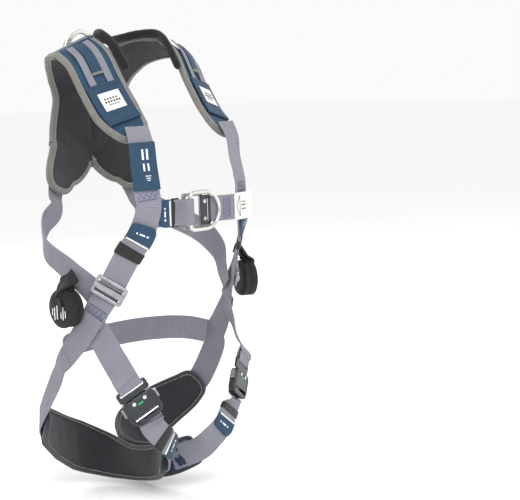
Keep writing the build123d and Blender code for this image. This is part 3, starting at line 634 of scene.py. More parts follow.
def bind(shape, path, edge, middle, width=9.0, closed=False):
    """Tape folded round a pad's edge, with its seam."""
    last = len(path) - 1
    rows, along = [], [0.0]
    stations = []
    for k, (point, normal, inward) in enumerate(path):
        before = path[k - 1][0] if k > 0 else path[last - 1 if closed else 0][0]
        after = path[k + 1][0] if k < last else path[1 if closed else last][0]
        run = (after - before).normalized()
        out = (normal - run * normal.dot(run)).normalized()
        inner = out.cross(run)
        if inner.dot(inward) < 0:
            inner = -inner
        stations.append((point, inner, out, run))
        if k:
            along.append(along[-1] + (point - path[k - 1][0]).length)
    face = [(-1.1, 0.0), (-0.8, edge * 0.5)]
    face += [(b, pad_half(max(b, 0), edge, middle) + 0.75) for b in (0.4, 2.5, 5.0, width - 0.5)]
    face += [(width, pad_half(width, edge, middle) + 0.3), (width - 0.4, pad_half(width, edge, middle) - 1.6)]
    loop = face + [(b, -n) for b, n in reversed(face[1:])]
    for k, (point, inner, out, run) in enumerate(stations):
        ripple = 0.25 * noise.noise(Vector((along[k] / 11, 3.1, 0)))
        rows.append([point + inner * b + out * (n + ripple) for b, n in loop])
    us = [1.6 * k for k in range(len(loop) + 1)]
    shape.rows(rows, us, along, caps=not closed)
    step = 3.3
    s = step / 2
    high = pad_half(width - 2, edge, middle) + 0.95
    while s < along[-1]:
        i = min(bisect_right(along, s) - 1, last - 1)
        share = (s - along[i]) / max(along[i + 1] - along[i], 1e-6)
        a, b = stations[i], stations[i + 1]
        point, inner, out, run = (u.lerp(v, share) for u, v in zip(a, b))
        for side in (1, -1):
            stitch(shape, point + inner * (width - 2) + out * (side * high), run, inner, out, 2.4, 1, 0.9)
        s += step


class Pad:
    """A padded piece whose rows run from its inner to its outer edge."""

    def __init__(self, line, widths, edge, middle, columns=20, round_start=0.0, round_end=0.0, centre=False):
        self.line, self.edge, self.middle, self.centre = line, edge, middle, centre
        self.rows, self.normals = [], []
        for i, (point, (across, out, _), width) in enumerate(zip(line.points, line.frames, widths)):
            half = width / 2
            for radius, away in ((round_start, line.along[i]), (round_end, line.along[-1] - line.along[i])):
                if away < radius:
                    rounded = radius * math.sqrt(max(1 - (1 - away / radius) ** 2, 0.0))
                    half = min(half, width / 2 - radius + rounded)
            inner, outer = point - across * half, point + across * half
            if centre and inner.x < 0:
                inner = inner.lerp(outer, inner.x / (inner.x - outer.x))
            row = [inner.lerp(outer, j / (columns - 1)) for j in range(columns)]
            self.rows.append(row)
            self.normals.append([self.facing(out, p) for p in row])
        last = len(self.rows) - 1
        inner_side = [self.edge_mark(i, 0) for i in range(last + 1)]
        outer_side = [self.edge_mark(i, -1) for i in range(last + 1)]
        self.start_side = [self.tip_mark(0, j, 3) for j in range(columns)]
        self.end_side = [self.tip_mark(last, j, last - 3) for j in range(columns)]
        self.inner_side, self.outer_side = inner_side, outer_side
        self.paths = []

    def facing(self, out, point):
        """Normal that turns square to the middle plane as it comes near it."""
        if not self.centre:
            return out
        share = min(1.0, abs(point.x) / 30)
        return Vector((out.x * share, out.y, out.z)).normalized()

    def edge_mark(self, i, j):
        return self.rows[i][j], self.normals[i][j], (self.line.points[i] - self.rows[i][j]).normalized()

    def tip_mark(self, i, j, towards):
        inward = (self.line.points[towards] - self.line.points[i]).normalized()
        return self.rows[i][j], self.normals[i][j], inward

    def distances(self):
        """How far each point is from the nearest bound edge."""
        marks_ = [p for path in self.paths for p, _, _ in path]
        tree = KDTree(len(marks_))
        for k, p in enumerate(marks_):
            tree.insert(p, k)
        tree.balance()
        return [[tree.find(p)[2] for p in row] for row in self.rows]

    def make(self, name, materials, lift=0.0):
        """The closed mesh."""
        far = self.distances()
        shape = Shape()
        rows, n = [], len(self.rows[0])
        for row, normals, d in zip(self.rows, self.normals, far):
            top = [p + m * (lift + pad_half(e, self.edge, self.middle)) for p, m, e in zip(row, normals, d)]
            low = [p - m * (pad_half(e, self.edge, self.middle) - lift) for p, m, e in zip(row, normals, d)]
            rows.append(top + low[::-1])
        width = (self.rows[len(self.rows) // 2][-1] - self.rows[len(self.rows) // 2][0]).length
        us = [width * j / (n - 1) for j in range(n)]
        us = us + us[::-1] + us[:1]
        shape.rows(rows, us, self.line.along, [0] * n + [1] * (n - 1) + [0])
        if self.centre:
            shape.mirror()
        return shape.make(name, materials, merge=0.15 if self.centre else 0.0, angle=75)


def edge_distances(made, paths):
    """How far each point of a mesh is from its bound edges, on both sides of the body."""
    marks_ = [p for path in paths for p, _, _ in path]
    tree = KDTree(2 * len(marks_))
    for k, p in enumerate(marks_):
        tree.insert(p, 2 * k)
        tree.insert(Vector((-p.x, p.y, p.z)), 2 * k + 1)
    tree.balance()
    return {v.index: tree.find(v.co / MM)[2] for v in made.data.vertices}


def puff(made, held, pressure, cap, slack=0.0):
    """Fills a closed mesh with pressure; the held points stay and none moves further than cap."""
    group = made.vertex_groups.new(name="held")
    group.add(held, 1.0, "REPLACE")
    filling = made.modifiers.new("filling", "CLOTH")
    rules = filling.settings
    rules.vertex_group_mass = "held"
    rules.quality = 5
    rules.use_pressure = True
    rules.uniform_pressure_force = pressure
    rules.shrink_min = -slack
    rules.effector_weights.gravity = 0.0
    filling.collision_settings.use_collision = False
    filling.collision_settings.use_self_collision = False
    rest = [v.co.copy() for v in made.data.vertices]
    for number in range(1, 21):
        bpy.context.scene.frame_set(number)
    result = made.evaluated_get(bpy.context.evaluated_depsgraph_get()).data
    moved = [v.co - before for v, before in zip(result.vertices, rest)]
    made.modifiers.remove(filling)
    bpy.context.scene.frame_set(1)
    for vertex, before, step in zip(made.data.vertices, rest, moved):
        if step.length > 1e-9:
            vertex.co = before + step * (cap * math.tanh(step.length / cap) / step.length)
    made.vertex_groups.clear()


def wrinkle(made, distances, depth, pucker=0.55, size=26.0, seed=1.0):
    """Soft folds over the face and small puckers beside the bound edges."""
    mesh = made.data
    shift = []
    for vertex in mesh.vertices:
        p = vertex.co / MM
        fold = noise.noise(Vector((p.x / size, p.y / size, p.z / (size * 0.55) + seed)))
        fold += 0.5 * noise.noise(Vector((p.x / 9, p.y / 9, p.z / 7 + seed)))
        near = distances[vertex.index]
        small = noise.noise(Vector((p.x / 4.2 + seed, p.y / 4.2, p.z / 4.2)))
        flat = min(near / 12, 1.0)
        beside = math.exp(-((near - 12) / 7) ** 2)
        shift.append(vertex.normal * ((depth * fold * flat + pucker * small * beside) * MM))
    for vertex, step in zip(mesh.vertices, shift):
        vertex.co += step


def twin(made, name):
    """The mirror image of a finished piece."""
    mesh = made.data.copy()
    mesh.transform(Matrix.Scale(-1, 4, (1, 0, 0)))
    mesh.flip_normals()
    other = bpy.data.objects.new(name, mesh)
    bpy.context.scene.collection.objects.link(other)
    return other


def cloth_area(made):
    """Area of one layer of a closed sheet, in square metres."""
    return sum(f.area for f in made.data.polygons) / 2


YOKE_EDGES = [
    ((66, 137, 426), (118, 122, 424)), ((44, 146, 456), (120, 130, 458)),
    ((-4, 154, 492), (106, 138, 498)), ((-4, 157, 540), (94, 146, 540)),
    ((-4, 154, 592), (84, 146, 594)), ((-4, 138, 640), (98, 136, 638)),
    ((22, 106, 684), (122, 112, 662)), ((58, 76, 700), (142, 80, 670)),
    ((76, 40, 702), (150, 48, 668)),
]
SHOULDER_EDGES = [
    ((77, 30, 700), (151, 38, 665)), ((74, 0, 679), (152, 14, 646)), ((71, -34, 628), (150, -12, 604)),
    ((68, -69, 580), (149, -44, 562)), ((71, -96, 546), (142, -76, 538)), ((88, -108, 522), (124, -98, 518)),
]
PAD_STEPS = CAD_STEPS * PAD_FINE
EDGE_HALF = 3.0
MIDDLE_HALF = 5.0
BINDING = 9.0

stations, widths = edge_stations(YOKE_EDGES)
yoke_line = Line(smooth(stations, PAD_STEPS))
yoke_widths = spread(widths, PAD_STEPS)
yoke = Pad(yoke_line, yoke_widths, EDGE_HALF, MIDDLE_HALF, columns=20, round_start=20, centre=True)
at_middle = [i for i, row in enumerate(yoke.rows) if row[0].x < 0.01]
outer_half = yoke.outer_side[::-1] + yoke.start_side[::-1] + yoke.inner_side[:at_middle[0] + 1]
neck_half = yoke.inner_side[:at_middle[-1] - 1:-1]


def both_sides(half):
    """Stations that start at the middle plane, after their mirror image."""
    other = [(Vector((-p.x, p.y, p.z)), Vector((-n.x, n.y, n.z))) for p, n in reversed(half[1:])]
    return other + half


def under_binding(far):
    """The points of a mesh that its binding holds."""
    return [i for i, d in far.items() if d < BINDING - 1]


def across_middle(path):
    """A path that ends at the middle plane, carried on by its mirror image."""
    other = [tuple(Vector((-v.x, v.y, v.z)) for v in mark) for mark in reversed(path[:-1])]
    return path + other


yoke.paths = [resample(across_middle(outer_half)), resample(across_middle(neck_half))]
back_yoke = yoke.make("back_yoke_pad", [PETROL, LINING])
yoke_far = edge_distances(back_yoke, yoke.paths)
puff(back_yoke, under_binding(yoke_far), 4.0, 1.9)
wrinkle(back_yoke, yoke_far, 0.35)
keep(back_yoke, "pad_fabric", "back_yoke_pad")
tape = Shape()
for path in yoke.paths:
    bind(tape, path, EDGE_HALF, 6.4)
keep(tape.make("yoke_binding", [TAUPE, GREY_THREAD]), "pad_fabric")

# Shoulder pads start where the yoke ends, so that the two read as one pad.
LAP = ((76, 40.5, 702), (150, 48.5, 668))
stations, widths = edge_stations([LAP] + SHOULDER_EDGES[1:])
pad_line = Line(smooth(stations, PAD_STEPS))
shoulder = Pad(pad_line, spread(widths, PAD_STEPS), EDGE_HALF, MIDDLE_HALF, columns=18, round_end=17)
shoulder.paths = [resample(shoulder.inner_side + shoulder.end_side + shoulder.outer_side[::-1])]
shoulder_left = shoulder.make("shoulder_pad_left", [PETROL, LINING])
pad_far = edge_distances(shoulder_left, shoulder.paths)
puff(shoulder_left, under_binding(pad_far), 4.0, 1.9)
wrinkle(shoulder_left, pad_far, 0.3)
shoulder_right = twin(shoulder_left, "shoulder_pad_right")
tape = Shape()
bind(tape, shoulder.paths[0], EDGE_HALF, 6.4)
for piece, side in ((shoulder_left, "left"), (shoulder_right, "right")):
    keep(piece, "pad_fabric", "shoulder_pad_" + side)
    keep(tape.make("shoulder_binding_" + side, [TAUPE, GREY_THREAD], flip=side == "right"), "pad_fabric")
stations, widths = edge_stations(SHOULDER_EDGES)
face_line = Line(smooth(stations, PAD_STEPS))

# ----------------------------------------------------------- cover on the back pad
COVER_INSET = 9.0
COVER_FIRST, COVER_LAST = 3 * PAD_FINE, 12 * PAD_FINE


class Cover(Pad):
    """The ripstop cover that lies on the yoke between its bound edges."""

    def __init__(self, first, last):
        part = yoke_line.part(first, last)
        super().__init__(part, yoke_widths[first:last + 1], 0.8, 0.8, columns=20, centre=True)
        for row in self.rows:
            inner, outer = row[0], row[-1]
            way = (outer - inner).normalized()
            low = inner + way * (COVER_INSET if inner.x > 2 else 0.0)
            high = outer - way * COVER_INSET
            row[:] = [low.lerp(high, j / (len(row) - 1)) for j in range(len(row))]


cover = Cover(COVER_FIRST, COVER_LAST)
last = len(cover.rows) - 1
middle_first = next(i for i, row in enumerate(cover.rows) if row[0].x < 0.01)
cover.paths = [across_middle(
    [cover.edge_mark(i, -1) for i in range(last, -1, -1)]
    + [cover.tip_mark(0, j, 3) for j in range(18, 0, -1)]
    + [cover.edge_mark(i, 0) for i in range(0, middle_first + 1)]
)]
panel = cover.make("back_panel", [PETROL, PETROL], lift=8.6)
panel_far = edge_distances(panel, cover.paths)
top_edge = [v.index for v in panel.data.vertices if v.co.z > 0.588]
puff(panel, sorted({i for i, d in panel_far.items() if d < 4} | set(top_edge)), 1.2, 1.6, slack=0.03)
for index in top_edge:
    panel_far[index] = 0.0
wrinkle(panel, panel_far, 0.9, 0.8, 34.0, 5.0)
keep(panel, "pad_fabric", "back_panel")
min(max(cloth_area(panel), 0.3 * 0.21 * 0.16), 0.21 * 0.16)

bpy.context.view_layer.update()
graph = bpy.context.evaluated_depsgraph_get()
back_tree = BVHTree.FromObject(back_yoke, graph)
cover_tree = BVHTree.FromObject(panel, graph)


def on_back(x, z, lift, cover_too=False):
    """Station on the back pad's outer face, or on its cover."""
    for tree in ([cover_tree] if cover_too else []) + [back_tree]:
        spot, normal, _, _ = tree.ray_cast(Vector((x, 300, z)) * MM, Vector((0, -1, 0)))
        if spot is not None:
            outward = normal if normal.y > 0 else -normal
            outward = (outward + Vector((0, 1, 0))).normalized()
            return spot / MM + outward * lift, outward


def back_strip(shape, ends, width, thick, lift, paint, cover_too=False, count=14):
    """A strip over the back pad between two (x, z) places."""
    (x0, z0), (x1, z1) = ends
    stations = [
        on_back(x0 + (x1 - x0) * k / count, z0 + (z1 - z0) * k / count, lift, cover_too)
        for k in range(count + 1)
    ]
    line = Line(stations)
    band(shape, line, width, thick, paint=paint)
    return line


trim = Shape()
edge_line = back_strip(trim, ((-74, 589), (74, 589)), 12, 1.5, 1.6, 0, True, 40)
for x in (-4.0, 4.0):
    sew(trim, edge_line, [(3, x), (edge_line.length - 3, x)], 0.95, 1, 3.3, 2.4)
for side in (-1, 1):
    arm = back_strip(trim, ((side * 62, 594), (side * 36, 650)), 10, 1.4, 1.6, 0)
    sew(trim, arm, [(2, -3), (arm.length - 2, -3)], 0.9, 1, 3.3, 2.4)
keep(trim.make("pocket_binding", [TAUPE, GREY_THREAD]), "pad_fabric")
# Navy patch over the pocket opening: partly the pocket's inner fabric, partly painted shade for the dark
# inside of the opening.
lining_and_shade_patch = Shape()
back_strip(lining_and_shade_patch, ((0, 596), (0, 640)), 62, 0.8, 0.9, 0)
keep(lining_and_shade_patch.make("pocket_lining_and_shade", [NAVY]), "pad_fabric")
BADGE_Z = 520
badge = Shape()
for first, stop, spots in (
    (-62, -5, [(0, 16, 3, 6), (22, 38, 3, 6), (0, 16, -6, -3), (22, 38, -6, -3)]),
    (8, 68, [(0, 50, 4, 7), (0, 10, -6, 1), (14, 24, -6, 1), (28, 38, -6, 1), (42, 52, -6, 1),
             (24, 52, -13, -11)]),
):
    line = Line([on_back(x, BADGE_Z, 0.5, True) for x in range(first, stop, 4)])
    marks(badge, line, spots, 0.35, 0)
keep(badge.make("back_marks", [WHITE_INK]), "label")

# -------------------------------------------------------------------- neck collar
collar_left = [
    free(0, 80, 697, (0, 1, 0.6)), free(25, 77, 702, (0.3, 1, 0.6)), free(50, 58, 708, (0.7, 0.6, 0.6)),
    free(66, 27, 707, (1, 0.2, 0.6)), free(64, -2, 687, (1, -0.3, 0.6)), free(61, -34, 643, (1, -0.6, 0.3)),
]
half = smooth(collar_left, 14)
collar_line = Line(both_sides(half))
collar = Shape()
rows = []
for i, (point, (across, out, _)) in enumerate(zip(collar_line.points, collar_line.frames)):
    ends = min(collar_line.along[i], collar_line.along[-1] - collar_line.along[i])
    size = math.sqrt(max(1 - (1 - min(ends / 9, 1)) ** 2, 0.06))
    row = []
    for k in range(24):
        turn = 2 * pi * k / 24
        fluff = 1 + 0.07 * noise.noise(Vector((collar_line.along[i] / 5, cos(turn) * 2, sin(turn) * 2)))
        row.append(point + (across * (8.2 * cos(turn)) + out * (6.6 * sin(turn))) * (size * fluff))
    rows.append(row)
collar.rows(rows, [2.1 * k for k in range(25)], collar_line.along)
fleece = keep(collar.make("neck_collar", [FLEECE]), "black_fleece", "neck_collar")

# -------------------------------------------------------- on the shoulder pads' face
PAD_FACE = PAD_THICK / 2
POCKET_LIFT = PAD_FACE + GAP + 1.6
pocket_part = face_line.solid(6, 12, PAD_FINE)
pocket = Shape()
base = pocket_part.along[0]
reach = pocket_part.length
flap_widths = [66 - 3 * (s - base) / reach for s in pocket_part.along]
band(pocket, pocket_part, flap_widths, 3.4, POCKET_LIFT, wave=0.9)
for s in (base + 3, base + 5.5, base + reach - 3):
    sew(pocket, face_line, [(s, -29), (s, 29)], POCKET_LIFT + 2.1, 1, 3.2, 2.3, 0.8)
for x in (-30, 30):
    sew(pocket, face_line, [(base + 4, x), (base + reach - 4, x)], POCKET_LIFT + 2.0, 1, 3.2, 2.3, 0.8)
pocket.mirror()
pocket_piece = keep(pocket.make("label_pockets", [NYLON, DARK_THREAD]), "blue_nylon", "label_pockets")

label_part = face_line.solid(7, 10, PAD_FINE)
LABEL_LIFT = POCKET_LIFT + 2.6
size_label = Shape()
band(size_label, label_part, 40, 0.7, LABEL_LIFT, wave=0.5)
start = label_part.along[0]
for s0, s1, low, high in (
    (start + 12, start + 15, -11, 14), (start + 18, start + 21.5, -15, 16), (start + 25, start + 27, -10, 12),
):
    x = low
    while x < high - 3:
        marks(size_label, face_line, [(s0, s1, x, x + 3.4)], LABEL_LIFT + 0.75, 1)
        x += 5.2
size_label.mirror()
label_piece = keep(size_label.make("size_labels", [LABEL, BLACK_INK]), "label", "size_labels")

loop_part = face_line.solid(1, 6, PAD_FINE)
LOOP_LIFT = PAD_FACE + GAP + THICK / 2
retrieval = Shape()
tail_part = face_line.part(0, 6 * PAD_FINE + 1)
for shift in (-16.5, 16.5):
    band(retrieval, tail_part, 12.5, 2.0, LOOP_LIFT, shift, wave=0.4)
band(retrieval, loop_part, 19, 2.2, LOOP_LIFT + 1.4, paint=1, wave=0.4)
start, end = loop_part.along[0], loop_part.along[-1]
for x in (-6.5, 6.5):
    sew(retrieval, face_line, [(start + 2, x), (end - 2, x)], LOOP_LIFT + 2.7, 2, 3.4, 2.4)
patch(retrieval, face_line, end - 4, end + 0.5, -10, 10, LOOP_LIFT + 1.6, 2.6, 3)
retrieval.mirror()
loops_piece = keep(
    retrieval.make("retrieval_loops", [GREY, NYLON, DARK_THREAD, TAUPE]), "webbing", "retrieval_loops"
)

# ------------------------------------------------------------------ torso straps
shoulder_route = [
    free(105, -104, 547, (0.2, -1, 0.5)), free(108, -117, 520, (0.3, -1, 0.15)),
    on_torso(45, 484, 22), on_torso(43, 440, CHEST_STAND_OFF), on_torso(42.3, 408, CHEST_STAND_OFF),
    on_torso(47, 366, 23), on_torso(55, 328, 15), on_torso(66.5, 271, 10),
    on_torso(73.5, 243, MAIN_LIFT), on_torso(80, 212, MAIN_LIFT),
]
shoulder_line = Line(smooth(shoulder_route))


STRAP_PAINTS = [GREY, BLUE_THREAD, ELASTIC]
# Layers of webbing in one mesh, as chosen and not worked out.
SEWN_LIFT = THICK / 2 + 0.35


def strap_object(shape, name, side):
    """Makes one side's strap, mirrored for the right, in place of its node."""
    made = keep(shape.make(name, STRAP_PAINTS, flip=side == "right"), "webbing", name)


for side in ("left", "right"):
    strap = Shape()
    band(strap, shoulder_line, WEBBING, wave=0.8)
    turn = shoulder_line.solid(9, 12)
    bar_tack(strap, shoulder_line, turn.along[0] + 1, turn.along[0] + 17, 18, SEWN_LIFT, 1)
    sewn = shoulder_line.solid(23, 26)
    bar_tack(strap, shoulder_line, sewn.along[0] + 16, sewn.along[0] + 38, 19, SEWN_LIFT, 1, 9)
    backing = shoulder_line.solid(8, 19)
    band(strap, backing, WEBBING - 3, 1.0, -THICK / 2 - 0.6, paint=2)
    strap_object(strap, "shoulder_strap_" + side, side)
    tail = Shape()
    tail_line = shoulder_line.part(15 * FINE, 21 * FINE - 1)
    band(tail, tail_line, WEBBING, lift=TAIL_STEP, wave=0.7)
    strap_object(tail, "torso_tail_" + side, side)

# Printed sleeve on the right shoulder strap, with plain bars in place of lettering.
sleeve = Shape()
sleeve_part = shoulder_line.solid(3, 10)
SLEEVE_LIFT = THICK / 2 + GAP + 0.7
band(sleeve, sleeve_part, 48, 1.8, SLEEVE_LIFT, wave=0.8)
start, end = sleeve_part.along[0], sleeve_part.along[-1]
for s in (start + 3, end - 3):
    sew(sleeve, shoulder_line, [(s, -22), (s, 22)], SLEEVE_LIFT + 1.2, 1, 3.2, 2.3, 0.8)
span = end - start
marks(sleeve, shoulder_line, [
    (start + 0.14 * span, start + 0.36 * span, -9, -5.5), (start + 0.14 * span, start + 0.36 * span, -1, 2.5),
    (start + 0.44 * span, start + 0.6 * span, -9, -6), (start + 0.44 * span, start + 0.6 * span, -1, 2),
    (start + 0.70 * span, start + 0.715 * span, -10, 0), (start + 0.745 * span, start + 0.76 * span, -9, -1),
    (start + 0.79 * span, start + 0.805 * span, -8, -2),
], SLEEVE_LIFT + 1.1, 2)
sleeve_piece = keep(
    sleeve.make("strap_sleeve", [NYLON, DARK_THREAD, WHITE_INK], flip=True), "blue_nylon", "strap_sleeve"
)

# ------------------------------------------------------------------- chest straps
CHEST_Z = 398.0
CHEST_Y = -(torso_size(CHEST_Z)[1] + 13.0)
FRAME_Y = CHEST_Y - 1.5
LINK_BAR_X = -30.0
LINK_Y = FRAME_Y - 11.6


def chest_line(stations):
    """A line round the chest through (angle, lift) stations."""
    return Line(smooth([on_torso(angle, CHEST_Z, lift) for angle, lift in stations]))


chest_right_line = chest_line([(-49, 17), (-35, 17), (-28, 16.5), (-20, 15)])
chest_left_line = chest_line([(12, 15), (30, 30), (48, 36)])

chest_right = Shape()
band(chest_right, chest_right_line, WEBBING, wave=0.5)
arrive = chest_right_line.points[-1]
wrap = bent(Vector((0, 0, CHEST_Z)), Vector((1, 0, 0)), Vector((0, 1, 0)), [
    (arrive.x - 12, arrive.y - 2.0), (arrive.x, arrive.y - 5.5),
    (LINK_BAR_X - 8, LINK_Y - 4.6), (LINK_BAR_X, LINK_Y - 5.3),
    (LINK_BAR_X + 4.4, LINK_Y - 3.0), (LINK_BAR_X + 5.2, LINK_Y), (LINK_BAR_X + 3.4, LINK_Y + 3.8),
    (LINK_BAR_X - 3, LINK_Y + 5.2), (LINK_BAR_X - 12, LINK_Y + 6.0),
])
band(chest_right, wrap, WEBBING, wave=0.3)
bar_tack(chest_right, wrap, 4, 16, 19, SEWN_LIFT, 0, 7)
strap_piece = keep(chest_right.make("chest_loop_strap", [GREY, BLUE_THREAD]), "webbing", "chest_loop_strap")

chest_left = Shape()
band(chest_left, chest_left_line, WEBBING, wave=0.6)
bar_tack(chest_left, chest_left_line, 26, 40, 19, SEWN_LIFT, 1, 9)
strap_piece = keep(chest_left.make("chest_strap_left", [GREY, BLUE_THREAD]), "webbing", "chest_strap_left")

chest_label = Shape()
label_part = chest_left_line.solid(3, 7)
LABEL_OVER = THICK / 2 + GAP + 0.5
band(chest_label, label_part, 48, 1.0, LABEL_OVER, wave=0.3)
start = label_part.along[0]
spots = []
for k in range(6):
    s = start + 5 + k * 1.5
    spots += [(s, s + 1.5, -k * 3.0 - 3, -k * 3.0), (s, s + 1.5, k * 3.0, k * 3.0 + 3)]
spots.append((start + 14, start + 15.2, -18, 18))
for low, high in ((-7, -4), (0, 3), (6, 8)):
    spots += [(start + 19 + 5 * k, start + 22.4 + 5 * k, low, high) for k in range(3)]
marks(chest_label, chest_left_line, spots, LABEL_OVER + 0.6, 1)
label_piece = keep(chest_label.make("chest_label", [LABEL, BLACK_INK]), "label", "chest_label")

# ------------------------------------------------------------ keepers and end tags
keepers = Shape()
tags = Shape()


def keeper(line, part, low, high):
    """An elastic band round a stack of straps."""
    start, end = part.along[0] - 1.5, part.along[-1] + 1.5
    rows, mid, half_high = [], (low + high) / 2, (high - low) / 2
    piece = line.cut(start, end, 10)
    for k, (point, (across, out, _)) in enumerate(zip(piece.points, piece.frames)):
        rim = 0.5 if k in (0, 10) else 0.0
        row = []
        for x, z in strip_loop(KEEPER_WIDTH - 2 * rim, 2 * half_high, 8):
            rounder = half_high * (1 - (abs(x) / (KEEPER_WIDTH / 2)) ** 8 * 0.25)
            row.append(point + across * x + out * (mid + z / half_high * (rounder - rim)))
        rows.append(row)
    loop = strip_loop(KEEPER_WIDTH, 2 * half_high, 8)
    keepers.rows(rows, [x for x, _ in loop] + [loop[0][0]], piece.along)


def end_tag(line, part, lift, free_start):
    """Folded cloth sewn round a strap's loose end, rounded where it ends."""
    start, end = part.along[0] - 2, part.along[-1] + 1
    piece = line.cut(start, end, 18)
    widths_ = []
    for s in piece.along:
        away = (s - start if free_start else end - s) / 13
        widths_.append(TAG_WIDTH * (0.62 + 0.38 * math.sqrt(max(1 - (1 - min(away, 1)) ** 2, 0.0))))
    band(tags, piece, widths_, 3.4, lift, wave=0.5)
    seam = end - 2.2 if free_start else start + 2.2
    step = 2.6 if free_start else -2.6
    patch(tags, line, *sorted((seam, seam + step)), -22, 22, lift + 0.3, 3.4, 2)
    sew(tags, line, [(seam - step, -20), (seam - step, 20)], lift + 1.9, 1, 3.2, 2.3, 0.8)
    middle = (start + end) / 2
    for x0, x1 in ((-13, -9), (-6, 4), (7, 10)):
        marks(tags, line, [(middle - 1.2, middle + 1.2, x0, x1)], lift + 1.9, 3)


keeper(shoulder_line, shoulder_line.solid(17, 19), -3.2, OVER_TAIL + 1.0)
end_tag(shoulder_line, shoulder_line.solid(14, 17), OVER_TAIL - 0.6, True)

# --------------------------------------------------------------------- leg straps
leg_upper_route = [
    on_torso(78, 205, UNDER_LIFT), on_torso(71, 176, UNDER_LIFT + 2), on_torso(65.5, 148, UNDER_LIFT + 5),
]
here, facing_out = on_torso(51, 66, 17.0)
ahead = on_torso(58, 105, 17.0)[0]
BUCKLE_X = (ahead - here).cross(facing_out).normalized()
BUCKLE_Z = facing_out.normalized()
BUCKLE_Y = BUCKLE_Z.cross(BUCKLE_X)
BUCKLE = here


def at_buckle(x, y, z):
    return BUCKLE + BUCKLE_X * x + BUCKLE_Y * y + BUCKLE_Z * z


SEAT_ROUTE = [
    by_thigh(184, 74, 44, 0.0), by_thigh(168, 104, 14, 0.1), by_thigh(124, 134, -18, 0.4),
    by_thigh(70, 142, -50, 0.5), by_thigh(29, 116, -72, 0.3), by_thigh(15, 68, -80, 0.15),
    by_thigh(14, 18, -76, 0.0), by_thigh(20, -28, -64, 0.0), by_thigh(42, -70, -44, 0.0),
]
SEAT_WIDTHS = [48, 74, 92, 96, 80, 66, 64, 62, 56]
seat_line = Line(smooth(SEAT_ROUTE, PAD_STEPS))


def on_seat(index, lift=GAP):
    """A station for a strap that is sewn down on the outside of the seat pad."""
    i = (index % (CAD_STEPS * (len(SEAT_ROUTE) - 1) + 1)) * PAD_FINE
    out = seat_line.frames[i][1]
    return seat_line.points[i] + out * ((SEAT_PAD_THICK + THICK) / 2 + lift), out


leg_lower_route = [
    (at_buckle(0, -29, 0), BUCKLE_Z), free(94, -103, 27, (0.15, -1, 0)), free(70, -107, -2, (-0.1, -1, 0)),
    free(48, -100, -23, (-0.35, -1, 0)), on_seat(-1, 3.0), on_seat(-4, 2.5),
]
leg_lower_line = Line(smooth(leg_lower_route))
LOOP_OUT = 2.0 + GAP + THICK / 2
front = [(Vector(p), n) for p, n in leg_upper_route]
front += [
    (at_buckle(0, y, z), BUCKLE_Z) for y, z in ((62, 5.0), (52, LOOP_OUT + 0.2), (43, LOOP_OUT))
]
upper_front = Line(smooth(front))
turn_back = bent(BUCKLE, BUCKLE_Y, BUCKLE_Z, [
    (44, LOOP_OUT), (40.8, LOOP_OUT - 0.3), (38.9, 2.2), (38.3, 0.0), (38.9, -2.2), (40.8, -LOOP_OUT + 0.3),
    (46, -LOOP_OUT), (56, -2.6), (68, 0.4),
])
for side in ("left", "right"):
    s = -1 if side == "right" else 1
    strap = Shape()
    band(strap, upper_front, WEBBING, wave=0.6)
    band(strap, turn_back, WEBBING)
    made = strap.make("leg_strap_upper_" + side, STRAP_PAINTS, flip=side == "right")
    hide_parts("leg_strap_upper_" + side, "tongue_loop_" + side)
    points = [leg_upper_route[1][0], at_buckle(0, 50, 0)]
    start, end = [Vector((p.x * s, p.y, p.z)) * MM for p in points]
    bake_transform(made)

    lower = Shape()
    band(lower, leg_lower_line, WEBBING, wave=0.6)
    lead = bent(BUCKLE, BUCKLE_Y, BUCKLE_Z, [(-14, -5.2), (-18, -6.4), (-22, -8.0), (-26, -5.5), (-30, -0.6)])
    band(lower, lead, WEBBING)
    loose = leg_lower_line.part(0, (8 if side == "right" else 6) * FINE)
    band(lower, loose, WEBBING, lift=2.9, wave=0.6)
    strap_object(lower, "leg_strap_lower_" + side, side)

keepers.mirror()
tags.mirror()
keepers_both, tags_both = keepers, tags
keepers, tags = Shape(), Shape()
keeper(leg_lower_line, leg_lower_line.solid(5, 7), -2.4, 2.9 + 3.0)
end_tag(leg_lower_line, leg_lower_line.solid(7, 10), 2.9 + 0.3, False)
for shape, right_side in ((keepers_both, keepers), (tags_both, tags)):
    shape.join(right_side, flip=True)
keepers, tags = keepers_both, tags_both
keeper(leg_lower_line, leg_lower_line.solid(3, 5), -2.4, 2.9 + 3.0)
end_tag(leg_lower_line, leg_lower_line.solid(5, 8), 2.9 + 0.3, False)
keeper(chest_right_line, chest_right_line.solid(7, 10), -2.4, OVER_STRAP + 1.6)
end_tag(chest_right_line, chest_right_line.solid(3, 7), OVER_STRAP, True)
keep(keepers.make("elastic_keepers", [ELASTIC]), "elastic", "elastic_keepers")
keep(tags.make("strap_end_tags", [NYLON, DARK_THREAD, LABEL, WHITE_INK]), "blue_nylon", "strap_end_tags")

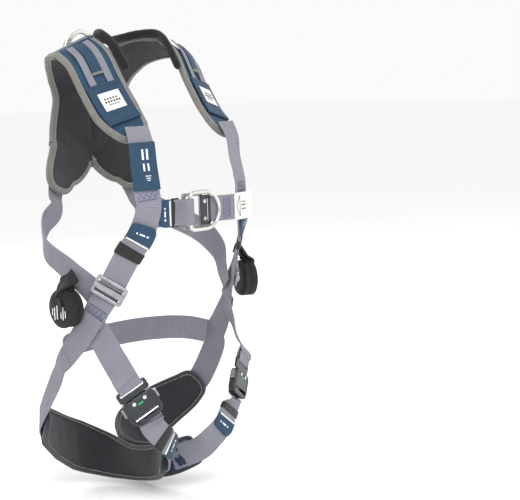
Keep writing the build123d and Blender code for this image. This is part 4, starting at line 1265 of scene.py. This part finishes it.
# ---------------------------------------------------------------- back and hip straps
diagonal_route = [
    free(86, 146, 444, (0.24, 1, 0)), free(96, 140, 421, (0.35, 1, 0)), on_torso(139, 396, 16),
    on_torso(126, 372, 26), on_torso(106, 338, 30), on_torso(91, 304, 20), on_torso(79, 268, UNDER_LIFT),
    on_torso(73, 242, 3.2),
]
diagonal_line = Line(smooth(diagonal_route))
half = smooth([on_torso(a, z, 6.0) for a, z in ((180, 152), (152, 153), (128, 152), (112, 149), (100, 143))])
lower_back_line = Line(both_sides(half))
HIP_LIFT = MAIN_LIFT + TAIL_STEP + 1.6
hip_route = [
    on_torso(77.5, 226, HIP_LIFT), on_torso(84, 195, HIP_LIFT), on_torso(91, 165, HIP_LIFT + 2),
    on_torso(97, 138, HIP_LIFT + 6), on_torso(100, 108, 24),
    on_seat(0, 3.5), on_seat(2, 3.0), on_seat(4, 3.0),
]
hip_line = Line(smooth(hip_route))
for side in ("left", "right"):
    strap = Shape()
    band(strap, diagonal_line, WEBBING, wave=0.9)
    strap_object(strap, "back_diagonal_strap_" + side, side)
    strap = Shape()
    band(strap, hip_line, WEBBING, wave=0.8)
    fold = hip_line.along[5 * FINE * CAD_STEPS // 2]
    sew(strap, hip_line, [(fold, -20), (fold, 20)], THICK / 2 + 0.3, 1)
    sew(strap, hip_line, [(hip_line.length - 4, -20), (hip_line.length - 4, 20)], THICK / 2 + 0.3, 1)
    strap_object(strap, "hip_strap_" + side, side)
strap = Shape()
band(strap, lower_back_line, WEBBING, wave=0.8)
strap_object(strap, "lower_back_strap", "left")

# ---------------------------------------------------------------------- seat pads
SEAT_EDGE, SEAT_MIDDLE = 2.6, 4.2
SEAT_FACE = SEAT_PAD_THICK / 2
seat = Pad(
    seat_line, spread(SEAT_WIDTHS, PAD_STEPS), SEAT_EDGE, SEAT_MIDDLE, 20, round_start=16, round_end=12
)
ring_path = seat.inner_side + seat.end_side + seat.outer_side[::-1] + seat.start_side[::-1]
seat.paths = [resample(ring_path + ring_path[:1], closed=True)]
seat_left = seat.make("seat_pad_left", [PETROL, LINING])
seat_far = edge_distances(seat_left, seat.paths)
puff(seat_left, under_binding(seat_far), 4.0, 1.6)
wrinkle(seat_left, seat_far, 0.4, 0.7)
seat_right = twin(seat_left, "seat_pad_right")
tape = Shape()
bind(tape, seat.paths[0], SEAT_EDGE, 5.4, 8.0, closed=True)
webbing_run = Shape()
total = seat_line.length
band(webbing_run, seat_line.cut(total * 0.12, total * 0.97, 90), WEBBING, 2.0, SEAT_FACE + 1.0, wave=0.4)
sleeves = Shape()


def seat_half_width(s):
    """Half the seat pad's width at a length along it."""
    i = min(bisect_right(seat_line.along, s) - 1, len(seat_line.points) - 2)
    return (seat.rows[i][-1] - seat.rows[i][0]).length / 2


def creased(shape, start, end, low, high, depth, seed):
    """A loose nylon sleeve over part of the pad, with folds that run across it."""
    piece = seat_line.cut(start, end, 44)
    count = 18
    rows = []
    for s, point, (across, out, _) in zip(piece.along, piece.points, piece.frames):
        half_wide = seat_half_width(s)
        row = []
        for k in range(count + 1):
            t = k / count
            x = (low + (high - low) * t) * half_wide
            calm = min(t, 1 - t) * 5
            ridge = noise.noise(Vector((s / 11 + t * 2.2, t * 1.6, seed)))
            ridge += 0.5 * noise.noise(Vector((s / 5, t * 4, seed)))
            height = SEAT_FACE + 2.9 + depth * abs(ridge) * min(calm, 1) + min(calm, 1) * 0.8
            row.append(point + across * x + out * height)
        below = [p - out * 1.6 for p in row]
        rows.append(row + below[::-1])
    us = [60 * k / count for k in range(count + 1)]
    shape.rows(rows, us + us[::-1] + us[:1], piece.along)
    for shift in (low + 0.05, high - 0.05):
        path = [(s, shift * seat_half_width(s)) for s in piece.along[::4]]
        sew(shape, seat_line, path, SEAT_FACE + 3.3, 1, 3.4, 2.4, 0.8)


creased(sleeves, total * 0.13, total * 0.49, -0.84, 0.34, 3.0, 2.0)
creased(sleeves, total * 0.62, total * 0.93, -0.8, 0.8, 2.2, 7.0)
for side in ("left", "right"):
    piece = seat_left if side == "left" else seat_right
    keep(piece, "seat_fabric", "seat_pad_" + side)
    flip = side == "right"
    keep(tape.make("seat_binding_" + side, [BLACK_BINDING, GREY_THREAD], flip=flip), "seat_fabric")
    run = keep(webbing_run.make("seat_webbing_" + side, [GREY], flip=flip), "webbing")
    cover_piece = keep(sleeves.make("seat_sleeve_" + side, [NAVY, DARK_THREAD], flip=flip), "seat_fabric")

# -------------------------------------------------------------------- dorsal loop
RING_Y, RING_AXIS_Z = 170.0, 622.5
loop = Shape()
around = bent(Vector((0, RING_Y, RING_AXIS_Z)), Vector((0, 0, -1)), Vector((0, 1, 0)), [
    (30, -8.6), (22, -4.5), (14, 1.0), (8.4, 5.4), (3.5, 8.3), (-2.2, 8.6), (-7.4, 5.0), (-8.8, -1.0),
    (-6.0, -6.6), (0, -8.8), (8, -9.6), (18, -12.0),
], 8)
band(loop, around, 44, 2.4, wave=0.3)
for side in (-1, 1):
    arm = Line([on_back(side * (4 + 34 * k / 10), 634 + 40 * k / 10, 1.9) for k in range(11)])
    band(loop, arm, 34, 2.0)
loop_piece = keep(loop.make("dorsal_loop", [GREY]), "webbing", "dorsal_loop")

# -------------------------------------------------------------------- gear pouches
# The wrap over a pouch: (up, out) places on it, and how far its face turns out and up there.
WRAP = (
    (27, 22, 0.6, 0.8), (32, 21.5, 0.4, 0.9), (37, 19, 0.3, 1),
    (43, 13, 0.6, 1), (50, 7, 1, 0.5), (57, 3, 1, 0.2),
)


def pouch_frame(angle, height, foot):
    point, face = on_torso(angle, height, foot)
    across = Vector((0, 0, 1)).cross(face).normalized()
    return point, across, face.cross(across), face


def make_pouch(place, name, flip):
    """Round zipped pouch with piping, a zip round its side and a wrap to the strap."""
    origin, across, up, face = place
    shape = Shape()
    outline = [
        (0.5, 0.4), (20, 0.2), (29, 0.6), (32.4, 2.4), (33.4, 5), (33.7, 9), (33.4, 11.6),
        (32.6, 12.2), (32.6, 15.2), (33.4, 15.8), (33.8, 19), (33.6, 23), (34.1, 24.6), (33.6, 26.2),
        (32.2, 26.4), (30.6, 27.0), (26, 28.6), (18, 29.6), (9, 30.0), (0.5, 30.1),
    ]
    rows, along = [], [0.0]
    for k, (radius, depth) in enumerate(outline):
        row = []
        for j in range(48):
            turn = 2 * pi * j / 48
            soft = 1 + 0.018 * noise.noise(Vector((cos(turn) * 2.2, sin(turn) * 2.2, depth / 9)))
            dent = 0.8 * noise.noise(Vector((cos(turn) * radius / 14, sin(turn) * radius / 14, 9.0)))
            dent *= 1.0 if depth > 26.5 else 0.0
            spot = origin + across * (radius * soft * cos(turn)) + up * (radius * soft * sin(turn))
            row.append(spot + face * (depth + dent - 0.4))
        rows.append(row)
        if k:
            along.append(along[-1] + math.hypot(radius - outline[k - 1][0], depth - outline[k - 1][1]))
    shape.rows(rows, [4.4 * j for j in range(49)], along)
    for j in range(110):                       # zip teeth
        turn = 2 * pi * j / 110
        spoke = across * cos(turn) + up * sin(turn)
        along_way = up * cos(turn) - across * sin(turn)
        stitch(shape, origin + spoke * 33.1 + face * 13.3, face, along_way, spoke, 2.4, 1, 1.5)
    for j in range(70):                        # seam inside the piping
        turn = 2 * pi * j / 70
        spoke = across * cos(turn) + up * sin(turn)
        way = up * cos(turn) - across * sin(turn)
        stitch(shape, origin + spoke * 29.5 + face * 27.9, way, spoke, face, 2.1, 2, 0.8)
    pin = []
    for radius, depth in ((1.5, 28), (1.5, 33.2), (2.4, 33.3), (2.4, 34.0), (1.2, 34.4)):
        pin.append([
            origin + across * (-6 + radius * cos(pi * j / 5))
            + up * (14 + radius * sin(pi * j / 5)) + face * depth
            for j in range(10)
        ])
    shape.rows(pin, list(range(11)), [0, 5, 6, 7, 8], 1)
    print_line = Line([(origin + across * x + face * 29.8, face) for x in range(-24, 25, 6)])
    marks(shape, print_line, [
        (6, 8, -14, -2), (12, 14.4, -18, 4), (18, 20, -16, 6),
        (28, 30.5, -18, 6), (35, 37.5, -20, 2), (41, 43, -12, 0),
    ], 0.75, 3)
    for lean in (-1, 1):                       # two bands crossing over the strap
        crossing = smooth([
            (origin + across * (lean * (16 - 0.9 * (y - 22))) + up * y + face * (z + lean * 1.6),
             (face * a + up * b).normalized())
            for y, z, a, b in WRAP
        ], 4)
        band(shape, Line(crossing), 30, 4.0, wave=1.2)
    made = shape.make(name, [BLACK_CLOTH, PLASTIC, DARK_THREAD, WHITE_INK], flip=flip)
    keep(made, "pouch_fabric", name)


make_pouch(pouch_frame(79, 249, 36), "gear_pouch_left", False)
make_pouch(pouch_frame(90, 239, 21), "gear_pouch_right", True)

# ------------------------------------------------------------ details on the buckles
details = Shape()
buckle_mid = Line([(at_buckle(0, y, 6.5), BUCKLE_Z) for y in (6, 10, 14, 18)])
patch(details, buckle_mid, 2.5, 6.0, -5, 5, 0.2, 0.5, 0)
rim = []
for k in range(49):
    turn = 2 * pi * k / 48
    x = 27.5 * abs(cos(turn)) ** 0.45 * (1 if cos(turn) > 0 else -1)
    y = 18.5 * abs(sin(turn)) ** 0.5 * (1 if sin(turn) > 0 else -1)
    rim.append((at_buckle(x, y, 6.45), BUCKLE_Z))
rim_line = Line(rim)
band(details, rim_line, 1.8, 0.9, 0.2, paint=1)
details.mirror()
keep(details.make("buckle_details", [GREEN, GRAPHITE]), "buckle_metal")

# ------------------------------------------------------------- floor, light, camera
floor_mesh = bpy.data.meshes.new("floor")
FLOOR_DROP = 0.012        # metres below the lowest point
level = cad_box[0].z - FLOOR_DROP
FLOOR_HALF = 30
corners = [(x * FLOOR_HALF, y * FLOOR_HALF, level) for x, y in ((-1, -1), (1, -1), (1, 1), (-1, 1))]
floor_mesh.from_pydata(corners, [], [(0, 1, 2, 3)])
floor_mesh.uv_layers.new(name="cloth")
floor = bpy.data.objects.new("floor", floor_mesh)
bpy.context.scene.collection.objects.link(floor)
plain = Surface("floor_white", 0.9)
white = plain.mix(plain.cloud(400.0), rgb(249, 249, 249), rgb(252, 252, 252))
floor_mesh.materials.append(plain.finish(white))

bpy.context.scene.view_settings.view_transform = "Standard"
world = bpy.data.worlds.new("studio")
world.use_nodes = True
world.node_tree.nodes["Background"].inputs[0].default_value = (1.0, 1.0, 1.0, 1.0)
world.node_tree.nodes["Background"].inputs[1].default_value = 0.96
bpy.context.scene.world = world


def area_light(name, place, aim, size, power):
    data = bpy.data.lights.new(name, "AREA")
    data.energy = power
    data.size = size
    lamp = bpy.data.objects.new(name, data)
    lamp.location = place
    lamp.rotation_euler = (Vector(aim) - Vector(place)).to_track_quat("-Z", "Y").to_euler()
    bpy.context.scene.collection.objects.link(lamp)


area_light("key", (-1.6, -2.4, 2.3), (0, 0, 0.3), 1.6, 72)
area_light("fill", (2.6, -1.6, 1.2), (0, 0, 0.3), 2.2, 12)
area_light("back", (0.8, 2.8, 2.2), (0, 0, 0.4), 2.0, 40)

CAMERA_AZIMUTH, CAMERA_ELEVATION = radians(-41), radians(8)
CAMERA_DISTANCE = 2.6
CAMERA_LENS = 98.9
CAMERA_ROLL = radians(-1.7)
AIM_RIGHT, AIM_UP = 0.204, 0.051     # metres from the target, for the object's place in the frame
target = Vector((0, 0, 0.26))
back = Vector((
    sin(CAMERA_AZIMUTH) * cos(CAMERA_ELEVATION), -cos(CAMERA_AZIMUTH) * cos(CAMERA_ELEVATION),
    sin(CAMERA_ELEVATION),
))
right = Vector((cos(CAMERA_AZIMUTH), sin(CAMERA_AZIMUTH), 0))
up_way = back.cross(right)
aim = target + right * AIM_RIGHT + up_way * AIM_UP
camera_data = bpy.data.cameras.new("camera")
camera_data.lens = CAMERA_LENS
camera = bpy.data.objects.new("camera", camera_data)
camera.location = target + back * CAMERA_DISTANCE
look = (aim - camera.location).to_track_quat("-Z", "Y").to_matrix().to_4x4()
camera.matrix_world = Matrix.Translation(camera.location) @ look @ Matrix.Rotation(CAMERA_ROLL, 4, "Z")
bpy.context.scene.collection.objects.link(camera)
bpy.context.scene.camera = camera
